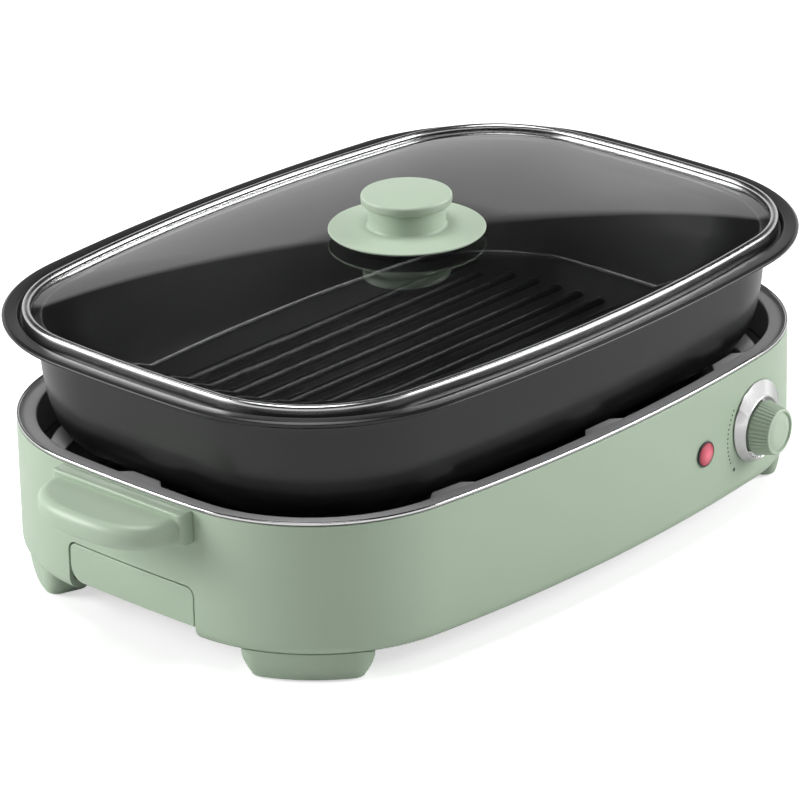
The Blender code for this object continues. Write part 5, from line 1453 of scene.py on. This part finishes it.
def fluted(radius, z, depth):
    """A circle with rounded ridges and narrow grooves."""
    points = []
    count = KNOB_FLUTES * KNOB_FLUTE_POINTS
    for i in range(count):
        angle = 2 * math.pi * i / count
        wave = abs(math.sin(angle * KNOB_FLUTES * HALF))
        reach = radius - depth * (1 - wave) ** 2
        points.append((reach * math.cos(angle), reach * math.sin(angle), z))
    return points


def knob_cone():
    """The fluted side, which fades out over the rounded edge of the face."""
    start = KNOB_CONE_START + KNOB_CONE_EDGE
    low = KNOB_CONE_START + KNOB_CONE_EDGE * QUARTER_SHARE
    run = KNOB_TOP - KNOB_EDGE - start
    loops = [fluted(KNOB_BASE_RADIUS - KNOB_CONE_EDGE, low, KNOB_FLUTE_DEPTH)]
    for k in range(EDGE_STEPS + 1):
        share = k / EDGE_STEPS
        radius = KNOB_BASE_RADIUS + (KNOB_END_RADIUS - KNOB_BASE_RADIUS) * share
        loops.append(fluted(radius, start + run * share, KNOB_FLUTE_DEPTH))
    for k, (sin, cos) in enumerate(quarter_steps(first=1), 1):
        radius = KNOB_END_RADIUS - KNOB_EDGE * (1 - cos)
        fade = KNOB_FLUTE_DEPTH * (1 - k / EDGE_STEPS)
        loops.append(fluted(radius, KNOB_TOP - KNOB_EDGE * (1 - sin), fade))
    return loops


def control_knob():
    """A fluted cone on a recessed foot, with a ring groove in its face and a bore for the shaft."""
    ring = KNOB_RING_RADIUS
    groove = KNOB_RING_DEPTH
    face = KNOB_TOP - groove * QUARTER_SHARE
    below = (
        (SHAFT_BORE, SHAFT_BORE_TOP),
        (SHAFT_BORE, KNOB_LOW),
        (KNOB_FOOT_RADIUS, KNOB_LOW),
        (KNOB_FOOT_RADIUS, KNOB_CONE_START),
    )
    above = (
        (ring, KNOB_TOP),
        (ring - groove * QUARTER_SHARE, KNOB_TOP - groove),
        (ring - groove, KNOB_TOP - groove),
        (ring - groove * 2, face),
        (ring * HALF, face),
    )
    foot_loops, face_loops = (
        [circle(radius, z, count=KNOB_FLUTES * KNOB_FLUTE_POINTS) for radius, z in rows]
        for rows in (below, above)
    )
    knob = place(loft(foot_loops + knob_cone() + face_loops), DIAL_PLACE)
    add("control_knob", knob, "dial", "pale_sage_plastic")


def indicator_lens():
    """A crowned face on a hollow barrel."""
    inner = LENS_BARREL_RADIUS - LENS_WALL
    face_radius = LENS_RADIUS - LENS_RING
    section = crown(face_radius, LENS_FACE, LENS_CROWN) + [
        (face_radius, GAP),
        (LENS_BARREL_RADIUS, GAP),
        (LENS_BARREL_RADIUS, LENS_BARREL_END),
        (inner, LENS_BARREL_END),
        (inner, 0),
        (0, 0),
    ]
    lens = place(turned_mesh(section), LENS_PLACE)
    add("indicator_lens", lens, "base", "red_lens")


def lens_ring():
    inner = LENS_RADIUS - LENS_RING + GAP * HALF
    small = LENS_RING * QUARTER_SHARE
    section = [
        (inner, GAP, 0),
        (LENS_RADIUS, GAP, 0),
        (LENS_RADIUS, LENS_RING_HEIGHT, small),
        (inner, LENS_RING_HEIGHT, small),
    ]
    ring = place(turned_mesh(soften(section), closed=True), LENS_PLACE)
    add("lens_ring", ring, "base", "dark_plastic", "indicator_lens")


def dial_mark(degrees, radius):
    """One flat dot on the wall, at an angle about the dial."""
    angle = math.radians(degrees)
    x = DIAL_X + MARK_CIRCLE * math.cos(angle)
    z = DIAL_Z + MARK_CIRCLE * math.sin(angle)
    section = [(0, MARK_HEIGHT), (radius * HALF, MARK_HEIGHT), (radius, MARK_HEIGHT * HALF)]
    section += [(radius, -MARK_HEIGHT), (0, -MARK_HEIGHT)]
    return place(turned_mesh(section, SCREW_STEPS), BASE.side_frame(x, z))


def dial_marks():
    """A row of small dots beside the dial, and a larger one at the off position."""
    dots = [dial_mark(MARK_START_DEG + MARK_STEP_DEG * i, MARK_RADIUS) for i in range(MARK_COUNT)]
    dots.append(dial_mark(MARK_LARGE_DEG, MARK_LARGE_RADIUS))
    add("dial_marks", merge_meshes(dots), "base", "dark_plastic", "housing_shell", look=MARKS)


def inlet_loop(grow, chamfer, y):
    """An upright six-sided socket outline at y, grown from the inlet's own size."""
    wide = INLET_HALF_WIDTH + grow
    tall = INLET_HALF_HEIGHT + grow
    corners = (
        (-wide, -tall),
        (wide, -tall),
        (wide, tall - chamfer),
        (wide - chamfer, tall),
        (-wide + chamfer, tall),
        (-wide, tall - chamfer),
    )
    outline = soften([(x, z, INLET_EDGE) for x, z in corners], steps=SMALL_EDGE_STEPS)
    return [(x, y, INLET_Z + z) for x, z in outline]


def power_inlet():
    """A socket with a flange against the wall and a closed body behind it."""
    small = INLET_EDGE
    outer = INLET_OUTER_CHAMFER
    levels = (
        (-INLET_WALL, INLET_CHAMFER, INLET_FLOOR_Y),
        (-INLET_WALL, INLET_CHAMFER, INLET_FACE_Y - small),
        (small - INLET_WALL, INLET_CHAMFER, INLET_FACE_Y),
        (INLET_FLANGE - small, outer, INLET_FACE_Y),
        (INLET_FLANGE, outer, INLET_FACE_Y - small),
        (INLET_FLANGE, outer, INLET_SEAT_Y),
        (0, outer, INLET_SEAT_Y),
        (0, outer, INLET_BACK_Y),
    )
    add("power_inlet", loft([inlet_loop(*level) for level in levels]), "base", "dark_plastic")


def inlet_pins():
    for word in ("live", "earth", "neutral"):
        name = "inlet_pin_" + word
        add(name, rounded_box(*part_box(name), SCREW_SLOT_WIDTH * HALF), "base", "steel")


# Hot side


def heat_reflector():
    """A dish of sheet metal with a drip slot and two holes for the element's legs."""
    sheet = REFLECTOR_SHEET
    bend = REFLECTOR_BEND
    floor_end = REFLECTOR_DISH_START + bend * 2
    section = [
        (floor_end, REFLECTOR_FLOOR, 0),
        (REFLECTOR_DISH_START, REFLECTOR_FLOOR, bend),
        (REFLECTOR_FLANGE_END, REFLECTOR_TOP, bend * HALF),
        (REFLECTOR_FLANGE_START, REFLECTOR_TOP, 0),
        (REFLECTOR_FLANGE_START, REFLECTOR_TOP - sheet, 0),
        (REFLECTOR_FLANGE_END - sheet * HALF, REFLECTOR_TOP - sheet, bend * HALF),
        (REFLECTOR_DISH_START - sheet * HALF, REFLECTOR_FLOOR - sheet, bend),
        (floor_end, REFLECTOR_FLOOR - sheet, 0),
    ]
    dish = to_object("heat_reflector_look", dish_mesh(BASE, soften(section, closed=False)))
    low = REFLECTOR_FLOOR - sheet - OVERRUN
    high = REFLECTOR_FLOOR + OVERRUN
    radius = DRIP_SLOT_LENGTH * HALF
    reach = DRIP_SLOT_WIDTH * HALF - radius
    slot = slot_outline((DRIP_SLOT_X, reach), (DRIP_SLOT_X, -reach), radius, 0)
    parts = [prism_mesh(slot, low, high)]
    for y in (-TUBE_OUTER_RUN_Y, -TUBE_INNER_RUN_Y):
        parts.append(place(rod_mesh(TUBE_LEG_HOLE, low, high), Matrix.Translation((TUBE_END_X, y, 0))))
    cut(dish, *parts)
    dress(dish, "base", "steel", "heat_reflector")


def element_leg(y):
    """The bend at the end of a run and the leg down from it."""
    centre = (TUBE_END_X - TUBE_LEG_BEND, TUBE_Z - TUBE_LEG_BEND)
    bend = arc(centre, TUBE_LEG_BEND, QUARTER_TURN, 0, TUBE_BEND_STEPS)
    low = TUBE_Z - TUBE_LEG_BEND - TUBE_LEG_DROP
    return [Vector((x, y, z)) for x, z in bend] + [Vector((TUBE_END_X, y, low))]


def element_run():
    """The flat loop of the element, seen from above."""
    outer, inner = TUBE_OUTER_RUN_Y, TUBE_INNER_RUN_Y
    turn = (outer - inner) * HALF
    corner = TUBE_CORNER
    far = TUBE_FAR_X + corner
    down = HALF_TURN + QUARTER_TURN
    flat = arc((far, -outer + corner), corner, down, HALF_TURN, TUBE_ARC_STEPS)
    flat += arc((far, outer - corner), corner, HALF_TURN, QUARTER_TURN, TUBE_ARC_STEPS)
    flat += arc((TUBE_TURN_X, inner + turn), turn, QUARTER_TURN, -QUARTER_TURN, TUBE_ARC_STEPS)
    flat += arc((TUBE_INNER_TURN_X, 0), inner, QUARTER_TURN, down, TUBE_ARC_STEPS)
    return [Vector((x, y, TUBE_Z)) for x, y in flat]


def heating_element():
    """A round tube along the loop, with a leg at each end."""
    points = element_leg(-TUBE_OUTER_RUN_Y)[::-1] + element_run() + element_leg(-TUBE_INNER_RUN_Y)
    curve = bpy.data.curves.new("heating_element_look", "CURVE")
    curve.dimensions = "3D"
    curve.bevel_depth = TUBE_RADIUS
    curve.bevel_resolution = TUBE_ROUND_LEVEL
    curve.use_fill_caps = True
    spline = curve.splines.new("POLY")
    spline.points.add(len(points) - 1)
    for point, target in zip(points, spline.points):
        target.co = (*point, 1)
    made = bpy.data.objects.new("heating_element_look", curve)
    bpy.context.scene.collection.objects.link(made)
    dress(made, "base", "element_sheath", "heating_element")


# Pan


def grill_pan():
    """The pan's skin: floor, wall, seat, brim, and back down the outside."""
    inner = smooth_line(PAN_INNER, PAN_SMOOTH_STEPS)
    outer = smooth_line(PAN_OUTER, PAN_SMOOTH_STEPS)
    brim = soften([(*inner[-1], 0), *PAN_BRIM, (*outer[0], 0)], closed=False)[1:-1]
    add("grill_pan", dish_mesh(PAN, inner + brim + outer), "pan", "nonstick_black")


def rib_mesh(y):
    """A rib along X that slopes and narrows to its ends."""
    reach = PAN.end_x(y, RIB_FIELD_INSET)
    section = [*RIB_SECTION, *((-across, height) for across, height in reversed(RIB_SECTION))]
    stations = [(-reach + away, share) for away, share in RIB_END_SHARES]
    stations += [(reach - away, share) for away, share in reversed(RIB_END_SHARES)]
    loops = []
    for x, share in stations:
        narrow = HALF + share * HALF
        points = []
        for across, height in section:
            lift = height * share if height > 0 else height
            points.append((x, y + across * narrow, PAN_FLOOR_TOP + lift))
        loops.append(points)
    return loft(loops)


def pan_ribs():
    ribs = merge_meshes(rib_mesh(y) for y in centred(RIB_COUNT, RIB_PITCH))
    add("pan_ribs", ribs, "pan", "nonstick_black", "grill_pan", look=RIB_COAT)


# Lid


def lid_rim():
    """A thin sheet rolled round the glass's edge, open towards the middle."""
    top = LID_RIM_TOP
    sheet = LID_RIM_SHEET
    width = LID_RIM_WIDTH
    small = sheet * QUARTER_SHARE
    section = soften(
        [
            (0, LID_BOTTOM, small),
            (0, top, LID_RIM_ROUND),
            (width, top, LID_RIM_ROUND),
            (width, LID_RIM_LIP, small),
            (width - sheet, LID_RIM_LIP, small),
            (width - sheet, top - sheet, LID_RIM_ROUND - sheet),
            (sheet, top - sheet, LID_RIM_ROUND - sheet),
            (sheet, LID_BOTTOM + sheet, 0),
            (width, LID_BOTTOM + sheet, small),
            (width, LID_BOTTOM, small),
        ],
        steps=EDGE_STEPS + 1,
    )
    add("lid_rim", ring_mesh(LID, section), "lid", "steel")


def glass_surface(base):
    """Loops of one face of the glass, from its edge up to the hole in the middle."""
    edge = LID.loop(GLASS_EDGE_INSET)
    first = LID.loop(LID_RIM_WIDTH + GAP)
    loops = [[(p.x, p.y, base) for p in edge]]
    for k in range(GLASS_RING_COUNT - 1):
        share = 1 - k / GLASS_RING_COUNT
        height = base + GLASS_RISE * (1 - share**GLASS_POWER_SHARE)
        loops.append([(p.x * share, p.y * share, height) for p in first])
    loops.append([(*(p.normalized() * GLASS_HOLE_RADIUS), base + GLASS_RISE) for p in edge])
    return loops


def lid_glass():
    """A shallow dome over the lid's plan, with a hole in the middle for the knob's screw."""
    loops = glass_surface(GLASS_EDGE_TOP) + glass_surface(GLASS_EDGE_BOTTOM)[::-1]
    add("lid_glass", loft(loops, closed=True), "lid", "tempered_glass")


def lid_knob_skirt():
    """The knob's neck with the broad skirt below it."""
    skirt = soften(
        [
            (KNOB_BORE, NECK_TOP, 0),
            (NECK_RADIUS, NECK_TOP, SKIRT_CROWN),
            (NECK_RADIUS, SKIRT_TOP + SKIRT_CROWN, NECK_FLARE),
            (SKIRT_RADIUS, SKIRT_TOP - SKIRT_CROWN * HALF, SKIRT_CROWN),
            (SKIRT_RADIUS - SKIRT_CROWN * HALF, SKIRT_EDGE_BOTTOM, SKIRT_CROWN * HALF),
            (GASKET_RADIUS, SKIRT_UNDER, 0),
            (KNOB_BORE, SKIRT_UNDER, 0),
        ],
        steps=EDGE_STEPS * 2,
    )
    add("lid_knob_skirt", turned_mesh(skirt, closed=True), "lid", "pale_sage_plastic")


def lid_knob_cap():
    """The knob's crowned top, with a blind bore below for the screw."""
    top = crown(CAP_RADIUS * CAP_CROWN_RING_SHARE, CAP_TOP, CAP_CROWN)[:-1]
    section = [(radius, z, 0) for radius, z in top] + [
        (CAP_RADIUS, CAP_TOP - CAP_CROWN * QUARTER_SHARE, CAP_ROUND),
        (CAP_RADIUS, CAP_LOW, CAP_ROUND),
        (KNOB_BORE, CAP_LOW, 0),
        (KNOB_BORE, CAP_BORE_TOP, 0),
        (0, CAP_BORE_TOP, 0),
    ]
    cap = turned_mesh(soften(section, closed=False, steps=EDGE_STEPS + 2))
    add("lid_knob_cap", cap, "lid", "pale_sage_plastic")


def lid_knob_gasket():
    sizes = (GASKET_BORE, GASKET_RADIUS, GASKET_TOP, GASKET_BOTTOM)
    gasket = collar_mesh(*sizes, GASKET_ROUND * HALF, GASKET_ROUND)
    add("lid_knob_gasket", gasket, "lid", "rubber_black")


def lid_knob_washer():
    sizes = (WASHER_BORE, WASHER_RADIUS, WASHER_TOP, WASHER_LOW)
    add("lid_knob_washer", collar_mesh(*sizes, WASHER_ROUND, WASHER_ROUND), "lid", "steel")


def lid_knob_screw():
    """The screw from below, up into the cap."""
    tip = [(0, LID_SCREW_TOP), (LID_SCREW_RADIUS, LID_SCREW_TOP)]
    head = (LID_SCREW_HEAD_RADIUS, LID_SCREW_HEAD_TOP, LID_SCREW_HEAD_LOW)
    screw("lid_knob_screw", "lid", (0, 0, 0), tip, *head)


# Stage


def floor():
    """A white floor that still takes the grill's shadow."""
    bm = bmesh.new()
    bmesh.ops.create_grid(bm, x_segments=1, y_segments=1, size=FLOOR_SIZE * HALF)
    bmesh.ops.translate(bm, vec=(0, 0, FLOOR_Z), verts=bm.verts)
    made = to_object("floor", bm)
    look, tree, shader = new_material("floor_look")
    away = node(tree, "ShaderNodeVectorMath", {0: object_place(tree)}, operation="LENGTH")
    far_glow = ranged(
        tree, away.outputs["Value"], 0.0, FAR_FLOOR_GLOW, FAR_FLOOR_START, FAR_FLOOR_END
    )
    seen = any_ray(tree, "Is Camera Ray", "Is Transmission Ray")
    shine = mixed(tree, any_ray(tree, "Is Glossy Ray"), 0.0, far_glow)
    set_inputs(
        shader,
        {
            "Base Color": FLOOR_COLOUR,
            "Roughness": FLOOR_ROUGHNESS,
            "Specular IOR Level": 0.0,
            "Emission Color": WHITE,
            "Emission Strength": mixed(tree, seen, shine, FLOOR_GLOW),
        },
    )
    made.data.materials.append(look)


def world():
    """White to the camera. Reflections see a white band along the horizon under a dark sky."""
    made = bpy.data.worlds.new("studio")
    bpy.context.scene.world = made
    made.use_nodes = True
    tree = made.node_tree
    direction = node(tree, "ShaderNodeTexCoord").outputs["Generated"]
    slope = node(tree, "ShaderNodeSeparateXYZ", {"Vector": direction}).outputs["Z"]
    band = ranged(tree, slope, HORIZON_LIGHT, SKY_LIGHT, HORIZON_TOP, SKY_START)
    shine = mixed(tree, any_ray(tree, "Is Glossy Ray"), FILL_LIGHT, band)
    seen = any_ray(tree, "Is Camera Ray", "Is Transmission Ray")
    set_inputs(tree.nodes["Background"], {"Color": WHITE, "Strength": mixed(tree, seen, shine, 1.0)})


def lamp(name, place_at, size, power):
    """A rectangular soft lamp that faces the grill."""
    light = bpy.data.lights.new(name, "AREA")
    light.shape = "RECTANGLE"
    light.size, light.size_y = size
    light.energy = power
    made = bpy.data.objects.new(name, light)
    bpy.context.scene.collection.objects.link(made)
    made.location = place_at
    made.rotation_euler = (Vector(LAMP_AIM) - Vector(place_at)).to_track_quat("-Z", "Y").to_euler()


def camera():
    """The photograph's view, turned by its small roll."""
    azimuth = math.radians(CAMERA_AZIMUTH)
    elevation = math.radians(CAMERA_ELEVATION)
    roll = math.radians(CAMERA_ROLL)
    flat = math.cos(elevation)
    back = Vector((math.sin(azimuth) * flat, -math.cos(azimuth) * flat, math.sin(elevation)))
    right = (-back).cross(Vector((0, 0, 1))).normalized()
    up = right.cross(-back)
    eye = Vector((0, 0, AIM_HEIGHT)) + right * AIM_RIGHT + up * AIM_UP + back * CAMERA_DISTANCE
    turned_right = right * math.cos(roll) + up * math.sin(roll)
    turned_up = up * math.cos(roll) - right * math.sin(roll)
    lens = bpy.data.cameras.new("photo_camera")
    lens.sensor_width = SENSOR_WIDTH
    lens.lens = CAMERA_LENS
    lens.clip_end = FLOOR_SIZE * 2
    made = bpy.data.objects.new("photo_camera", lens)
    bpy.context.scene.collection.objects.link(made)
    turn = Matrix((turned_right, turned_up, back)).transposed().to_4x4()
    made.matrix_world = Matrix.Translation(eye) @ turn
    bpy.context.scene.camera = made


camera()
dress_nodes()
housing_shell()
rim_trim()
well_ring()
bottom_cover()
cover_screws()
feet()
end_handle("left", -1)
end_handle("right", 1)
drawer_front()
drawer_tray()
knob_bezel()
control_knob()
indicator_lens()
lens_ring()
dial_marks()
power_inlet()
inlet_pins()
heat_reflector()
heating_element()
grill_pan()
pan_ribs()
lid_rim()
lid_glass()
lid_knob_skirt()
lid_knob_cap()
lid_knob_gasket()
lid_knob_washer()
lid_knob_screw()
floor()
world()
for lamp_name, settings in LAMPS.items():
    lamp(lamp_name, *settings)
bpy.context.scene.view_settings.view_transform = "Standard"
